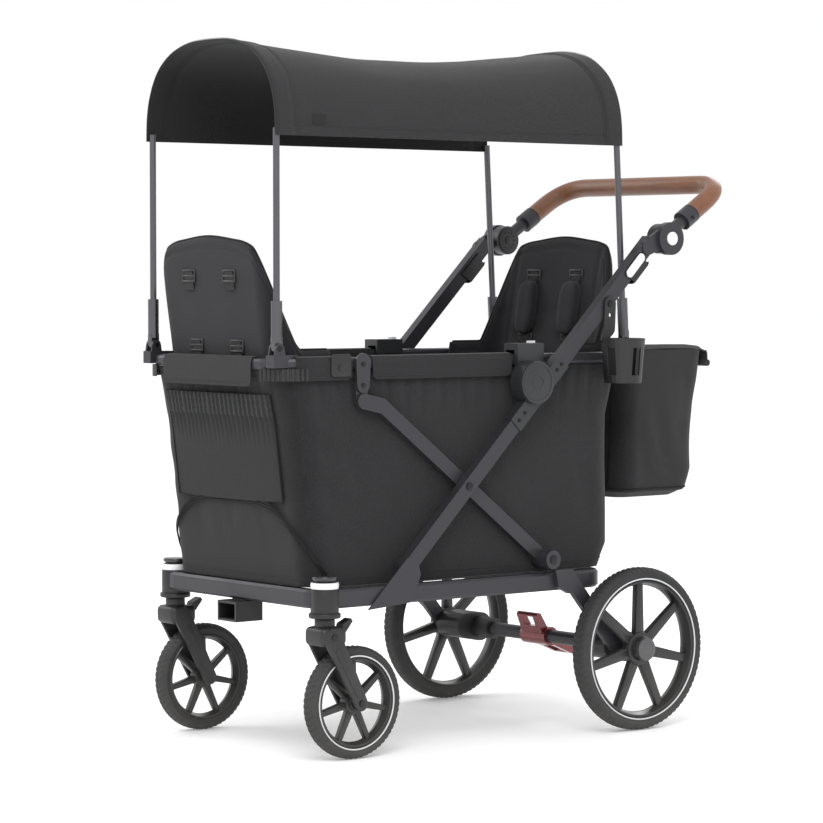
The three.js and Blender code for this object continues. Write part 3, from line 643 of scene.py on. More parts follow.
def ring_point(half_width, front, rear, corner, share):
    """A point on a rounded rectangle in plan, with its outward direction, counted from the middle of -Y."""
    straight_y = rear - front - 2 * corner
    straight_x = 2 * (half_width - corner)
    bend = corner * math.pi / 2
    lengths = [straight_x / 2, bend, straight_y, bend, straight_x, bend, straight_y, bend, straight_x / 2]
    s = (share % 1.0) * sum(lengths)
    k = 0
    while k < 8 and s > lengths[k]:
        s -= lengths[k]
        k += 1
    t = s / lengths[k]
    if k in (0, 4, 8):
        x = {0: mix(0, half_width - corner, t), 4: mix(half_width - corner, corner - half_width, t),
             8: mix(corner - half_width, 0, t)}[k]
        return Vector((x, rear if k == 4 else front, 0)), Vector((0, 1 if k == 4 else -1, 0))
    if k in (2, 6):
        y = mix(front + corner, rear - corner, t if k == 2 else 1 - t)
        side = 1 if k == 2 else -1
        return Vector((side * half_width, y, 0)), Vector((side, 0, 0))
    turn = {1: -math.pi / 2, 3: 0, 5: math.pi / 2, 7: math.pi}[k] + t * math.pi / 2
    out = Vector((math.cos(turn), math.sin(turn), 0))
    middle = Vector((
        (half_width - corner) * (1 if k in (1, 3) else -1),
        (rear - corner) if k in (3, 5) else (front + corner),
        0,
    ))
    return middle + out * corner, out


def sew(points, radius=0.0005, length=0.0034, gap=0.0026):
    """A row of stitches along a line of points: one short thread, copied."""
    bpy.ops.mesh.primitive_cylinder_add(vertices=5, radius=radius, depth=length)
    model = bpy.context.object
    places = []
    carried = 0.0
    for a, b in zip(points, points[1:]):
        a, b = Vector(a), Vector(b)
        step = b - a
        if step.length < 1e-7:
            continue
        turn = step.to_track_quat("Z", "Y").to_matrix().to_4x4()
        while carried < step.length:
            places.append(Matrix.Translation(a + step.normalized() * carried) @ turn)
            carried += length + gap
        carried -= step.length
    return copies(model, places)


CENTRE_Y_MM = 4.5  # how far the model was moved along Y to stand with its box centred on the origin


def at_mm(x, y, z):
    """A point given in millimetres before the model was centred on its box, in metres in the frame."""
    return Vector((x, y + CENTRE_Y_MM, z)) / 1000


def ridden_by(node):
    """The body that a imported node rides."""
    return body_of(frame["nodes"][node])[0]


def stand_for(piece, name, finish, slot, *nodes, angle=40):
    """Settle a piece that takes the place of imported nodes, on the body that they ride."""
    settle(piece, name, finish, ridden_by(nodes[0]), angle)
    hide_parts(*nodes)
    return piece


def thicken(piece, thickness, offset=-1.0):
    apply_modifier(piece, "SOLIDIFY", thickness=thickness, offset=offset)
    return piece


print("makers ready")

# %% [markdown]
# The canopy is one sheet over two arches, so its section is a flattened arch and its ridge dips between them.
# Both ends are turned back into sleeves, which stand a little proud and carry two rows of stitches. Slow
# ripples keep the span from looking moulded.

# %% Canopy
CANOPY_HALF, CANOPY_EDGE_Z, CANOPY_FRONT, CANOPY_REAR = 190.6, 1040.0, -506.0, 265.0
CANOPY_FRONT_RISE, CANOPY_REAR_RISE, CANOPY_SAG = 168, 177, 27
CANOPY_POWER = 2.6  # 2 would be a half ellipse; more than 2 squares its shoulders
SLEEVE_MM = 40
CANOPY_LONG = CANOPY_REAR - CANOPY_FRONT


def canopy_point(u, v, lift=0.0):
    turn = math.pi * (1 - u)
    between = math.sin(math.pi * v)
    from_end = min(v, 1 - v) * CANOPY_LONG
    sleeve = 1.6 * (1 - smoothstep(from_end, SLEEVE_MM - 2, SLEEVE_MM + 2)) * smoothstep(from_end, 0, 3)
    seam = -1.0 * math.exp(-(((from_end - SLEEVE_MM) / 3) ** 2))
    fold = ripple((u * 2.2, v * 3.1, 0.4), 1.9, 3.0) * 2.6 * between
    pull = ripple((u * 7.0, v * 1.7, 0.2), 1.6, 8.0) * 1.1
    out = lift + sleeve + seam + fold * math.sin(turn) + pull * math.sin(turn) - 1.4

    def arch(value):
        return math.copysign(abs(value) ** (2 / CANOPY_POWER), value)

    w = CANOPY_HALF + out - 6 * between * math.sin(turn)
    h = mix(CANOPY_FRONT_RISE, CANOPY_REAR_RISE, v) + out - CANOPY_SAG * between
    y = mix(CANOPY_FRONT, CANOPY_REAR, v)
    return at_mm(w * arch(math.cos(turn)), y, CANOPY_EDGE_Z + h * arch(math.sin(turn)))


def build_canopy():
    cover = sheet(90, 130, canopy_point)
    thicken(cover, 0.0022)
    girth = sum((canopy_point(k / 40, 0.5) - canopy_point((k + 1) / 40, 0.5)).length for k in range(40))
    stand_for(cover, "canopy_cover_cloth", "canopy_cloth", "fabric", "canopy_cover")
    # The inward faces take the darker copy of the canopy cloth, as painted shade on the inside of the canopy.
    cover.data.materials.append(FINISH["canopy_inside_painted_shade"])
    middle_z = (CANOPY_EDGE_Z + 40) / 1000
    for face in cover.data.polygons:
        toward = Vector((0, face.center.y, middle_z)) - face.center
        face.material_index = 1 if face.normal.dot(toward) > 0 else 0
    seams = []
    for inset in (SLEEVE_MM - 3, SLEEVE_MM + 4, 4):
        for v in (inset / CANOPY_LONG, 1 - inset / CANOPY_LONG):
            seams.append(sew([canopy_point(0.01 + 0.98 * k / 90, v, 0.4) for k in range(91)]))
    for u in (0.018, 0.982):
        seams.append(sew([canopy_point(u, 0.05 + 0.9 * k / 90, 0.5) for k in range(91)]))
    settle(joined(seams), "canopy_stitches", "thread", "canopy_cover")
    tag = sheet(6, 8, lambda u, v: canopy_point(0.955 + 0.025 * u, 0.10 + 0.035 * v, 1.2))
    thicken(tag, 0.0008)
    settle(tag, "canopy_blank_tag", "webbing", "canopy_cover")
    print("canopy girth mm:", round(girth * 1000))


build_canopy()

# %% [markdown]
# The basket is cloth hung inside the rail and laced to the bottom ring. Its wall follows five rounded rings,
# and between them the cloth slackens inwards only, because the folding arms pass close outside.

# %% Basket cloth
BASKET_RINGS = [  # z, half width, front, rear, corner
    (288, 203, -440, 216, 42), (330, 204, -450, 240, 46), (560, 204.5, -478, 240, 50),
    (630, 203, -494, 262, 54), (651, 200, -503, 278, 58),
]


def basket_ring(z):
    for low, high in zip(BASKET_RINGS, BASKET_RINGS[1:]):
        if z <= high[0]:
            break
    t = max(0.0, min(1.0, (z - low[0]) / (high[0] - low[0])))
    return [mix(a, b, t) for a, b in zip(low[1:], high[1:])]


def basket_point(share, z, off=0.0):
    spot, out = ring_point(*basket_ring(z), share)
    spot = spot + out * off
    return at_mm(spot.x, spot.y, z)


def ring_share(s, z=500):
    """Share of the way round for a distance s in millimetres from the middle of the front."""
    half, front, rear, corner = basket_ring(z)
    round_it = 2 * (rear - front - 2 * corner) + 4 * (half - corner) + 2 * math.pi * corner
    return s / round_it


def basket_slack(share, z):
    """How far the cloth falls in, in millimetres: slack at mid height, pleats under the rail, corner folds."""
    height = (z - 288) / (651 - 288)
    middle = math.sin(math.pi * min(1, max(0, height)))
    broad = (ripple((share * 9, height * 2.2, 0.3), 1.7, 1.0) + 1) * 1.9 * middle
    crease = max(0, ripple((share * 34, height * 3.5 + share * 20, 0.7), 1.0, 5.0)) * 2.4 * middle
    pleat = max(0, math.sin(share * 2 * math.pi * 58 + 3 * ripple((share * 11, 0, 0), 2, 2))) ** 3
    gather = pleat * 2.2 * smoothstep(height, 0.72, 0.97)
    hem = -0.9 * (1 - smoothstep(height, 0.034, 0.046))
    corner_fold = 0.0
    for centre in (0.104, 0.896):
        near = math.exp(-(((share - centre) / 0.022) ** 2))
        corner_fold += near * middle * 3.4 * (0.5 + 0.5 * math.sin(height * 31 + share * 60))
    return 0.6 + broad + crease + gather + hem + corner_fold


def basket_cloth_point(u, v):
    z = mix(288.6, 651, v)
    return basket_point(u, z, -basket_slack(u, z))


def fold_down(piece):
    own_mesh(piece)


def build_basket():
    wall = sheet(360, 76, basket_cloth_point, close=True)
    outward(wall)
    thicken(wall, 0.0022)
    stand_for(wall, "basket_wall_cloth", "basket_cloth", "fabric", "basket_shell")
    wall.data.materials.append(FINISH["front_cloth"])
    for face in wall.data.polygons:
        face.material_index = 1 if face.center.y < -0.43 and abs(face.center.x) < 0.19 else 0
    fold_down(wall)
    base = sheet(120, 12, lambda u, v: Vector((*(basket_point(u, 288.6, -3) * v).xy, 0.2905)), close=True)
    # The wall was moved with the model, so the floor's inner rings follow it by a share that fades outwards.
    for vertex in base.data.vertices:
        vertex.co.y += CENTRE_Y_MM / 1000 * (1 - min(1, abs(vertex.co.y) * 8))
    outward(base)
    thicken(base, 0.0014)
    settle(base, "basket_floor_cloth", "basket_cloth", "chassis")
    seams = [sew([basket_point(k / 300, 303, 0.5) for k in range(301)]),
             sew([basket_point(k / 300, 640, -0.2) for k in range(301)])]
    fold_down(settle(joined(seams), "basket_stitches", "thread", "chassis"))


build_basket()

# %% [markdown]
# The front wall carries a net pocket under a gathered elastic band, and below it a zip with a piped edge that
# runs round both corners to the hem. The zip has teeth, a slider and a plastic pull.

# %% Front pocket and zip


def front_wall(x, z, off):
    return at_mm(x, basket_ring(z)[1] - off, z)


def pocket_point(u, v):
    x = mix(-150, 150, u)
    z = mix(429, 575, v)
    belly = math.sin(math.pi * u) ** 0.5 * (2.5 + 5.5 * smoothstep(v, 0, 1))
    gather = math.sin(u * 2 * math.pi * 24 + 2 * ripple((u * 6, v, 0), 2)) * 1.3 * smoothstep(v, 0.55, 1)
    return front_wall(x, z, 1.2 + belly + gather)


def band_point(u, v):
    z = mix(573, 610, v)
    belly = math.sin(math.pi * u) ** 0.5 * (8.0 - 3.0 * v)
    gather = math.sin(u * 2 * math.pi * 24 + 2 * ripple((u * 6, 1, 0), 2)) * 1.2
    cord = 0.9 * math.sin(math.pi * v * 3) ** 2
    return front_wall(mix(-150, 150, u), z, 2.0 + belly + gather + cord)


ZIP_PATH = [(0, 433), (70, 433), (112, 425), (142, 408), (168, 384), (193, 353), (212, 324), (228, 292)]


def zip_line(off, drop=0.0):
    points = []
    for side in (-1, 1):
        half = []
        for (s0, z0), (s1, z1) in zip(ZIP_PATH, ZIP_PATH[1:]):
            for k in range(6):
                s, z = mix(s0, s1, k / 6), mix(z0, z1, k / 6) - drop
                half.append(basket_point(ring_share(side * s, z), z, off))
        points = list(reversed(half))[:-1] if side < 0 else points + half
    return points


def build_front_trim():
    net = sheet(160, 24, pocket_point)
    thicken(net, 0.0012)
    settle(net, "front_net_pocket", "pocket_net", "chassis")
    fold_down(net)
    band = sheet(160, 14, band_point)
    thicken(band, 0.0018)
    settle(band, "front_elastic_band", "band_cloth", "chassis")
    fold_down(band)
    piped = [tube(zip_line(1.6), 0.0017, sides=8), tube(zip_line(1.0, 8), 0.0012, sides=8)]
    piped.append(tube([front_wall(-151 + 302 * k / 30, 430, 1.6) for k in range(31)], 0.0013, sides=8))
    for x in (-151, 151):
        piped.append(tube([front_wall(x, 429 + 182 * k / 20, 1.6) for k in range(21)], 0.0016, sides=8))
    fold_down(settle(joined(piped), "front_piping", "piping", "chassis"))
    teeth = sew(zip_line(1.4, 4), radius=0.0013, length=0.0012, gap=0.001)
    fold_down(settle(teeth, "front_zip_teeth", "dark_screw", "chassis"))
    at = basket_point(ring_share(224, 300), 300, 2.4)
    slider = rod(0.0042, 0.0026, at, (1, -1, 0), 16)
    pull = rod(0.0026, 0.026, at + Vector((0.0006, -0.0006, -0.014)), (0.1, -0.1, 1), 10)
    fold_down(settle(joined([slider, pull]), "front_zip_pull", "black_plastic", "chassis"))


build_front_trim()
print("basket and front trim built")

# %% [markdown]
# Strips of the basket's cloth fold over the rail from the inside and hang outside it, held by plastic tabs.
# Each strip is a short profile carried along part of the rail. A ribbed plastic guard sits on the rail's
# front corners, under the canopy's brackets.

# %% Rail covers
RAIL_RING = (196, -500, 279, 58)
RAIL_ROUND = 2 * (279 + 500 - 116) + 4 * 138 + 2 * math.pi * 58
RAIL_SIDE_START = 138 + 29 * math.pi
COVER_PROFILE = [  # how far outside the rail's middle, and how high
    (-12.2, 646), (-12.4, 664), (-9, 672.6), (0, 674), (9, 672.6), (12.4, 664), (12.8, 650), (13.2, 634),
]


def rail_point(s, off, z):
    spot, out = ring_point(*RAIL_RING, s / RAIL_ROUND)
    spot = spot + out * off
    return at_mm(spot.x, spot.y, z)


def on_profile(profile, v):
    at = min(v, 0.99999) * (len(profile) - 1)
    k = int(at)
    return [mix(a, b, at - k) for a, b in zip(profile[k], profile[k + 1])]


def rail_cover(name, s0, s1, nodes=(), drop=0.0):
    def place(u, v):
        off, z = on_profile(COVER_PROFILE, v)
        low = smoothstep(v, 0.72, 1)
        end = min(u, 1 - u) * abs(s1 - s0)
        wave = ripple((u * abs(s1 - s0) / 40, v, 0.1), 1.3, s0 / 97) * 1.1 * low
        corner = (1 - smoothstep(end, 0, 9)) * 5 * smoothstep(v, 0.85, 1)
        off += wave * (0.3 if off > 0 else 0) - 0.2 * low
        return rail_point(mix(s0, s1, u), off, z + corner - drop * low)

    cover = sheet(max(24, int(abs(s1 - s0) / 5)), 35, place)
    outward(cover)
    thicken(cover, 0.0015, offset=0)
    if nodes:
        stand_for(cover, name, "basket_cloth", "fabric", *nodes)
    else:
        settle(cover, name, "basket_cloth", "top_rail")
    hem = sew([rail_point(mix(s0 + 4, s1 - 4, k / 40), 14.1, 640 - drop) for k in range(41)])
    settle(hem, name + "_hem", "thread", "top_rail")


def side_s(y):
    """Distance round the rail to a place on the left side, by its y in millimetres."""
    return RAIL_SIDE_START + y + 442


def snap_tab(name, y0, y1, side):
    outline = []
    for cy, cz, start in ((y1 - 6, 672, 0), (y0 + 6, 672, 1), (y0 + 6, 646, 2), (y1 - 6, 646, 3)):
        for k in range(5):
            turn = (start + k / 4) * math.pi / 2
            spot = at_mm(0, cy + 6 * math.cos(turn), cz + 6 * math.sin(turn))
            outline.append((spot.y, spot.z))
    tab = plate(outline, side * 0.2101, side * 0.2124)
    stud = rod(0.0062, 0.0022, at_mm(side * 213, (y0 + y1) / 2, 655), (1, 0, 0))
    dimple = rod(0.003, 0.001, at_mm(side * 214.2, (y0 + y1) / 2, 655), (1, 0, 0), 16, 0.0003)
    settle(joined([tab, stud, dimple]), name, "black_plastic", "top_rail")


def corner_guard(side_name, side):
    def place(u, v):
        rib = 1.5 * (math.sin(u * 22 * math.pi) > 0)
        return rail_point(side * mix(150, RAIL_SIDE_START - 6, u), 12 + rib, mix(634, 654, v))

    guard = outward(sheet(140, 8, place))
    thicken(guard, 0.0022, offset=0)
    settle(guard, "rail_corner_guard_" + side_name, "black_plastic", "top_rail", angle=25)


for side_name, side in SIDES.items():
    ends = sorted((side * side_s(-318), side * side_s(-12)))
    rail_cover("rail_cover_cloth_" + side_name, *ends, nodes=("rail_cover_" + side_name,))
    ends = sorted((side * side_s(-468), side * side_s(-362)))
    rail_cover("rail_cover_corner_" + side_name, *ends)
    snap_tab("rail_cover_tab_" + side_name, -408, -366, side)
    corner_guard(side_name, side)
rail_cover("rail_cover_cloth_front", -128, 128, nodes=("rail_cover_front",), drop=10)
print("rail covers built")

# %% [markdown]
# Each seat back is one padded wrap round the end of the rail, thick in the middle and closed to nothing along
# its edges. Sewn channels press into it. The slots that its harness passes through carry ladder buckles, and
# shoulder pads hang from them on the inside.

# %% Seat backs
BACK_PATH = 70 + 22 * math.pi + 248 + 22 * math.pi + 70
BACKS = {
    "front": {"y": -486, "inward": 1, "lean": 0.14, "swoop": (0.06, 0.27), "top": 874},
    "rear": {"y": 264, "inward": -1, "lean": 0.18, "swoop": (0.08, 0.28), "top": 877},
}


def back_path(u):
    """Plan point and inward direction on the wrap, for a share u of its length."""
    s = u * BACK_PATH
    bend = 22 * math.pi
    if s < 70:
        return (-168, 114 - s), (1, 0)
    if s < 70 + bend:
        turn = math.pi + (s - 70) / 44
        return (-124 + 44 * math.cos(turn), 44 + 44 * math.sin(turn)), (-math.cos(turn), -math.sin(turn))
    if s < 318 + bend:
        return (-124 + s - 70 - bend, 0), (0, 1)
    if s < 318 + 2 * bend:
        turn = 1.5 * math.pi + (s - 318 - bend) / 44
        return (124 + 44 * math.cos(turn), 44 + 44 * math.sin(turn)), (-math.cos(turn), -math.sin(turn))
    return (168, 44 + s - 318 - 2 * bend), (-1, 0)


def back_point(back, u, v, inset):
    (x, y), (ix, iy) = back_path(u)
    from_end = min(u, 1 - u)
    low, high = back["swoop"]
    shoulder = mix(684, back["top"] - 10, smoothstep(from_end, low, high))
    beyond = max(0.0, min(1.0, (abs(x) - 84) / 84))
    rounding = 74 * (1 - math.sqrt(1 - beyond * beyond)) * smoothstep(from_end, 0.0, 0.25)
    top = max(shoulder + 10 * smoothstep(from_end, high, 0.5) - rounding, 684)
    z = mix(642, top, v)
    lean = back["lean"] * max(0, z - 668)
    across, deep = x + ix * inset, y + iy * inset - lean
    return at_mm(across * back["inward"], back["y"] + deep * back["inward"], z), x, z


def groove(distance, width=4.5, depth=2.6):
    return depth * math.exp(-((distance / width) ** 2))


def build_seat_back(end):
    back = BACKS[end]

    def place(u, v):
        outer = v < 0.5
        t = 2 * v if outer else 2 - 2 * v
        t = 0.5 - 0.5 * math.cos(math.pi * t)
        u = 0.5 - 0.5 * math.cos(math.pi * u) * (0.55 + 0.45 * abs(math.cos(math.pi * u)))
        _, x, z = back_point(back, u, t, 0)
        tall = back_point(back, u, 1, 0)[2] - 642
        edge = min(t * tall, (1 - t) * tall, u * BACK_PATH, (1 - u) * BACK_PATH)
        full = 7.0 * math.sqrt(max(0.0, 1 - (1 - min(1, edge / 13)) ** 2))
        panel = groove(abs(x) - 112) + groove(abs(z - 742), 5, 2.2) * smoothstep(180 - abs(x), 0, 60)
        rim = groove(edge - 16, 3, 1.4)
        puff = 1.1 * ripple((x / 60, z / 60, end == "rear"), 1.0, 4.0)
        if outer:
            return back_point(back, u, t, 7 - max(0, full - rim + puff * min(1, edge / 20) * 0.6))[0]
        pad = 2.5 * smoothstep(edge, 8, 40)
        return back_point(back, u, t, 7 + max(0, full + pad - panel - rim + puff * min(1, edge / 20)))[0]

    wrap = sheet(150, 92, place)
    outward(wrap)
    stand_for(wrap, f"seat_back_pad_{end}", "seat_cloth", "lining", f"seat_back_{end}", angle=60)
    lift = Vector((0, 0, 0.0008))
    edge_line = [back_point(back, 0.012 + 0.976 * k / 120, 1, 7)[0] + lift for k in range(121)]
    trim = tube(edge_line, 0.0021, sides=8)
    settle(trim, f"seat_back_piping_{end}", "piping", "top_rail")
    build_harness(end, back)


def pillow(centre, size, lean):
    bpy.ops.mesh.primitive_uv_sphere_add(segments=40, ring_count=24, radius=1)
    piece = bpy.context.object
    for vertex in piece.data.vertices:
        shaped = [math.copysign(abs(c) ** 0.62, c) for c in vertex.co]
        seam = 1 - 0.14 * math.exp(-((vertex.co.z / 0.12) ** 2)) - 0.1 * math.exp(-((vertex.co.x / 0.1) ** 2))
        vertex.co = (shaped[0] * size[0] / 2, shaped[1] * size[1] / 2 * seam, shaped[2] * size[2] / 2)
    piece.rotation_euler = (lean, 0, 0)
    piece.location = centre
    return piece


def strap_piece(points, across, thickness=0.0016):
    """Webbing along points, as wide as the vector across."""
    def place(u, v):
        at = u * (len(points) - 1)
        k = min(int(at), len(points) - 2)
        return points[k].lerp(points[k + 1], at - k) + across * (v - 0.5)

    return thicken(sheet(4 * len(points), 4, place), thickness, offset=0)


def ladder_buckle(at):
    """Three crossbars between two side bars, centred on a point."""
    bars = [rod(0.0021, 0.034, at + Vector((0, 0, dz / 1000)), (1, 0, 0), 12) for dz in (-9, 0, 9)]
    return bars + [rod(0.0021, 0.0222, at + Vector((dx / 1000, 0, 0)), (0, 0, 1), 12) for dx in (-17, 17)]


def build_harness(end, back):
    lean = back["inward"] * math.atan(back["lean"])
    for side_name, side in SIDES.items():
        share = 0.5 + side * back["inward"] * 59 / BACK_PATH
        buckles, webs = [], []
        for z in (690, 808):
            tall = back_point(back, share, 1, 0)[2] - 642
            t = (z - 642) / tall
            for inset in (-1.6, 18):
                at = back_point(back, share, t, inset)[0]
                buckles += ladder_buckle(at)
                top = back_point(back, share, t + 7 / tall, inset + (1.6 if inset > 0 else -1.6))[0]
                foot = back_point(back, share, t - 24 / tall, inset + (1.0 if inset > 0 else -1.0))[0]
                webs.append(strap_piece([top, at.lerp(top, 0.4), foot], Vector((0.025, 0, 0))))
        settle(joined(buckles), f"harness_buckles_{end}_{side_name}", "black_plastic", "top_rail")
        low = back_point(back, share, (660 - 642) / tall, 19)[0]
        mid = back_point(back, share, (700 - 642) / tall, 21)[0]
        high = back_point(back, share, (800 - 642) / tall, 21)[0]
        webs.append(strap_piece([low, mid, high], Vector((0.025, 0, 0))))
        settle(joined(webs), f"harness_webbing_{end}_{side_name}", "webbing", "top_rail")
        middle = back_point(back, share, (749 - 642) / tall, 27)[0]
        pad = pillow(middle, (0.05, 0.02, 0.098), lean)
        settle(pad, f"shoulder_pad_{end}_{side_name}", "seat_cloth", "top_rail", angle=60)


for end_name in BACKS:
    build_seat_back(end_name)
print("seat backs built")

# %% [markdown]
# The seat pads are foam in cloth, so they get their swell from a cloth simulation. Each starts as a slightly
# small box, is remeshed to even cells, and is blown up a little with gravity off. How far a point may move is
# capped, and a sewn line round the side is pressed in afterwards.

# %% Seat pads
PAD_SWELL = 0.007
PAD_GAP = 0.0009


def swell(piece, rest_box):
    apply_modifier(piece, "REMESH", mode="VOXEL", voxel_size=0.006)
    rest = [v.co.copy() for v in piece.data.vertices]
    select_only(piece)
    cloth_modifier = piece.modifiers.new("swell", "CLOTH")
    cloth_modifier.settings.use_pressure = True
    cloth_modifier.settings.uniform_pressure_force = 4
    cloth_modifier.settings.effector_weights.gravity = 0
    cloth_modifier.point_cache.frame_start = 1
    cloth_modifier.point_cache.frame_end = 20
    for number in range(1, 21):
        bpy.context.scene.frame_set(number)
    bpy.ops.object.modifier_apply(modifier="swell")
    bpy.context.scene.frame_set(1)
    low, high = rest_box
    for vertex, start in zip(piece.data.vertices, rest):
        moved = vertex.co - start
        if moved.length > PAD_SWELL:
            moved = moved.normalized() * PAD_SWELL
        spot = start + moved
        for k in range(3):
            spot[k] = min(high[k] - PAD_GAP, max(low[k] + PAD_GAP, spot[k]))
        vertex.co = spot


def build_seat_pad(end):
    low, high = (Vector(corner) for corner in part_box("seat_pad_" + end))
    middle, size = (low + high) / 2, high - low
    bpy.ops.mesh.primitive_cube_add(size=1, location=middle)
    pad = bpy.context.object
    pad.scale = (size.x - 0.014, size.y - 0.014, size.z - 0.014)
    bpy.ops.object.transform_apply(location=True, rotation=True, scale=True)
    apply_modifier(pad, "BEVEL", width=0.014, segments=4)
    swell(pad, (low, high))
    for vertex in pad.data.vertices:
        side = vertex.co - middle
        seam = groove((vertex.co.z - middle.z) * 1000 - 8, 3, 1.6) / 1000
        flat = Vector((side.x / size.x, side.y / size.y, 0))
        if max(abs(flat.x), abs(flat.y)) > 0.42:
            vertex.co -= flat.normalized() * seam
        channel = groove(side.x * 1000 - 62, 4, 1.8) + groove(side.x * 1000 + 62, 4, 1.8)
        if side.z > size.z * 0.3:
            vertex.co.z -= channel / 1000
    apply_modifier(pad, "SUBSURF", levels=1)
    stand_for(pad, f"seat_cushion_{end}", "seat_cloth", "lining", "seat_pad_" + end, angle=60)


for end_name in BACKS:
    build_seat_pad(end_name)
print("seat pads built")

# %% [markdown]
# The storage bag hangs behind the rear seat. Its wall is a lofted sheet that sags between its corners, closed at
# the bottom. A straight loft would look like a box, so slow ripples push it in and out. The lid is a second
# sheet, and its edge is rolled over the back.

# %% Rear bag
BAG_RINGS = [
    (406, 150, 306, 470, 30), (452, 160, 300, 484, 34), (600, 164, 298, 492, 34), (672, 166, 296, 498, 30),
]


def bag_ring(z):
    for low, high in zip(BAG_RINGS, BAG_RINGS[1:]):
        if z <= high[0]:
            break
    t = max(0.0, min(1.0, (z - low[0]) / (high[0] - low[0])))
    return [mix(a, b, t) for a, b in zip(low[1:], high[1:])]


def bag_point(u, v, off=0.0):
    base_share = 0.2
    if v < base_share:
        t = v / base_share
        spot, _ = ring_point(*bag_ring(406), u)
        middle = Vector((0, 388, 0))
        round_z = 10 * smoothstep(t, 0.8, 1)
        sag = 3 * (1 - t * t)
        spot = middle + (spot - middle) * t
        return at_mm(spot.x, spot.y, 408 - sag + round_z - 6)
    t = (v - base_share) / (1 - base_share)
    z = mix(411, 672, t)
    spot, out = ring_point(*bag_ring(z), u)
    sway = ripple((u * 7, t * 2.4, 0.5), 1.4, 6.0) * 5 * math.sin(math.pi * t)
    crease = -max(0, ripple((u * 22, t * 3 + u * 12, 0.3), 1.0, 9.0)) * 4 * math.sin(math.pi * t)
    droop = -3 * math.sin(math.pi * t) ** 2
    spot = spot + out * (off + droop + min(2.5, sway) + crease)
    return at_mm(spot.x, spot.y, z)


LID_PROFILE = [  # y and z, from the front edge over the top to the rolled edge
    (300, 675), (340, 679), (400, 681), (460, 680), (492, 677), (500, 671), (502.5, 662), (503, 648),
]


def lid_point(u, v):
    y, z = on_profile(LID_PROFILE, v)
    x = mix(-163, 163, u)
    dip = (ripple((u * 5, v * 3, 0.8), 1.3, 2.0) * 3 - 5 * (1 - v)) * math.sin(math.pi * u)
    edge = (1 - smoothstep(min(u, 1 - u), 0, 0.05)) * 7 * (1 - smoothstep(v, 0.6, 0.8))
    return at_mm(x, y, z + dip * (1 - smoothstep(v, 0.7, 1)) - edge)


def build_bag():
    wall = sheet(200, 90, bag_point, close=True)
    outward(wall)
    thicken(wall, 0.0022)
    stand_for(wall, "rear_bag_cloth", "bag_cloth", "fabric", "rear_bag")
    body = ridden_by("rear_bag")
    lid = sheet(80, 50, lid_point)
    outward(lid)
    thicken(lid, 0.0022, offset=0)
    settle(lid, "rear_bag_lid", "bag_cloth", body)
    roll = tube([lid_point(k / 60, 1) + Vector((0, 0.001, -0.002)) for k in range(61)], 0.0062, sides=14)
    settle(roll, "rear_bag_rolled_edge", "band_cloth", body)
    bound = [tube([bag_point(k / 120, 0.22, 0.8) for k in range(120)], 0.0016, closed=True, sides=8)]
    for u in (0.12, 0.38, 0.62, 0.88):
        bound.append(tube([bag_point(u, 0.22 + 0.74 * k / 40, 0.6) for k in range(41)], 0.0015, sides=8))
    settle(joined(bound), "rear_bag_piping", "piping", body)
    hangers = []
    for side in SIDES.values():
        ends = [at_mm(side * 120, 290, 668), at_mm(side * 120, 297, 676), at_mm(side * 120, 304, 660)]
        hangers.append(strap_piece(ends, Vector((0.025, 0, 0))))
    settle(joined(hangers), "rear_bag_hangers", "webbing", body)


build_bag()
print("rear bag built")

# %% [markdown]
# The grip is leatherette drawn round the bent bar, with its seam sewn along the underside in tan thread and a
# dark ring at each end.

# %% Handle grip
HANDLE_ANGLE = math.radians(33)
HANDLE_Y, HANDLE_Z = 334, 874
HANDLE_X, HANDLE_REACH, HANDLE_CORNER, GRIP_START, GRIP_R = 220, 185, 66, 84.6, 0.0170


def on_handle(d, x, out=0.0):
    """A point d millimetres along the handle from its pivot, out metres below the plane of its bend."""
    base = at_mm(x, HANDLE_Y + d * math.cos(HANDLE_ANGLE), HANDLE_Z + d * math.sin(HANDLE_ANGLE))
    return base + Vector((0, math.sin(HANDLE_ANGLE), -math.cos(HANDLE_ANGLE))) * out


def grip_line(out=0.0):
    bend = HANDLE_REACH - HANDLE_CORNER
    half = [on_handle(mix(GRIP_START, bend, k / 8), HANDLE_X, out) for k in range(8)]
    for k in range(20):
        t = k / 20
        a, b, c = (on_handle(bend, HANDLE_X, out), on_handle(HANDLE_REACH, HANDLE_X, out),
                   on_handle(HANDLE_REACH, HANDLE_X - HANDLE_CORNER, out))
        half.append(a.lerp(b, t).lerp(b.lerp(c, t), t))
    half += [on_handle(HANDLE_REACH, mix(HANDLE_X - HANDLE_CORNER, 0, k / 20), out) for k in range(20)]
    other = [Vector((-p.x, p.y, p.z)) for p in reversed(half)]
    return half + [on_handle(HANDLE_REACH, 0, out)] + other


def build_grip():
    grip = tube(grip_line(), GRIP_R, sides=28, smooth=False)
    stand_for(grip, "handle_grip_wrap", "leatherette", "leather", "handle_grip", angle=60)
    stitches = []
    for shift in (-0.0022, 0.0022):
        inward = Vector((0, -math.cos(HANDLE_ANGLE), -math.sin(HANDLE_ANGLE)))
        line = [p + inward * shift for p in grip_line(GRIP_R - 0.0001)]
        stitches.append(sew(line, radius=0.0006, length=0.0042, gap=0.0026))
    settle(joined(stitches), "handle_grip_stitches", "tan_thread", "handle")
    groove_line = tube(grip_line(GRIP_R - 0.0002), 0.0006, sides=6, smooth=False)
    settle(groove_line, "handle_grip_seam", "dark_screw", "handle")
    along = (0, math.cos(HANDLE_ANGLE), math.sin(HANDLE_ANGLE))
    rings = [rod(0.0177, 0.003, on_handle(86.4, side * HANDLE_X), along, 32) for side in (1, -1)]
    settle(joined(rings), "handle_grip_end_rings", "black_plastic", "handle")


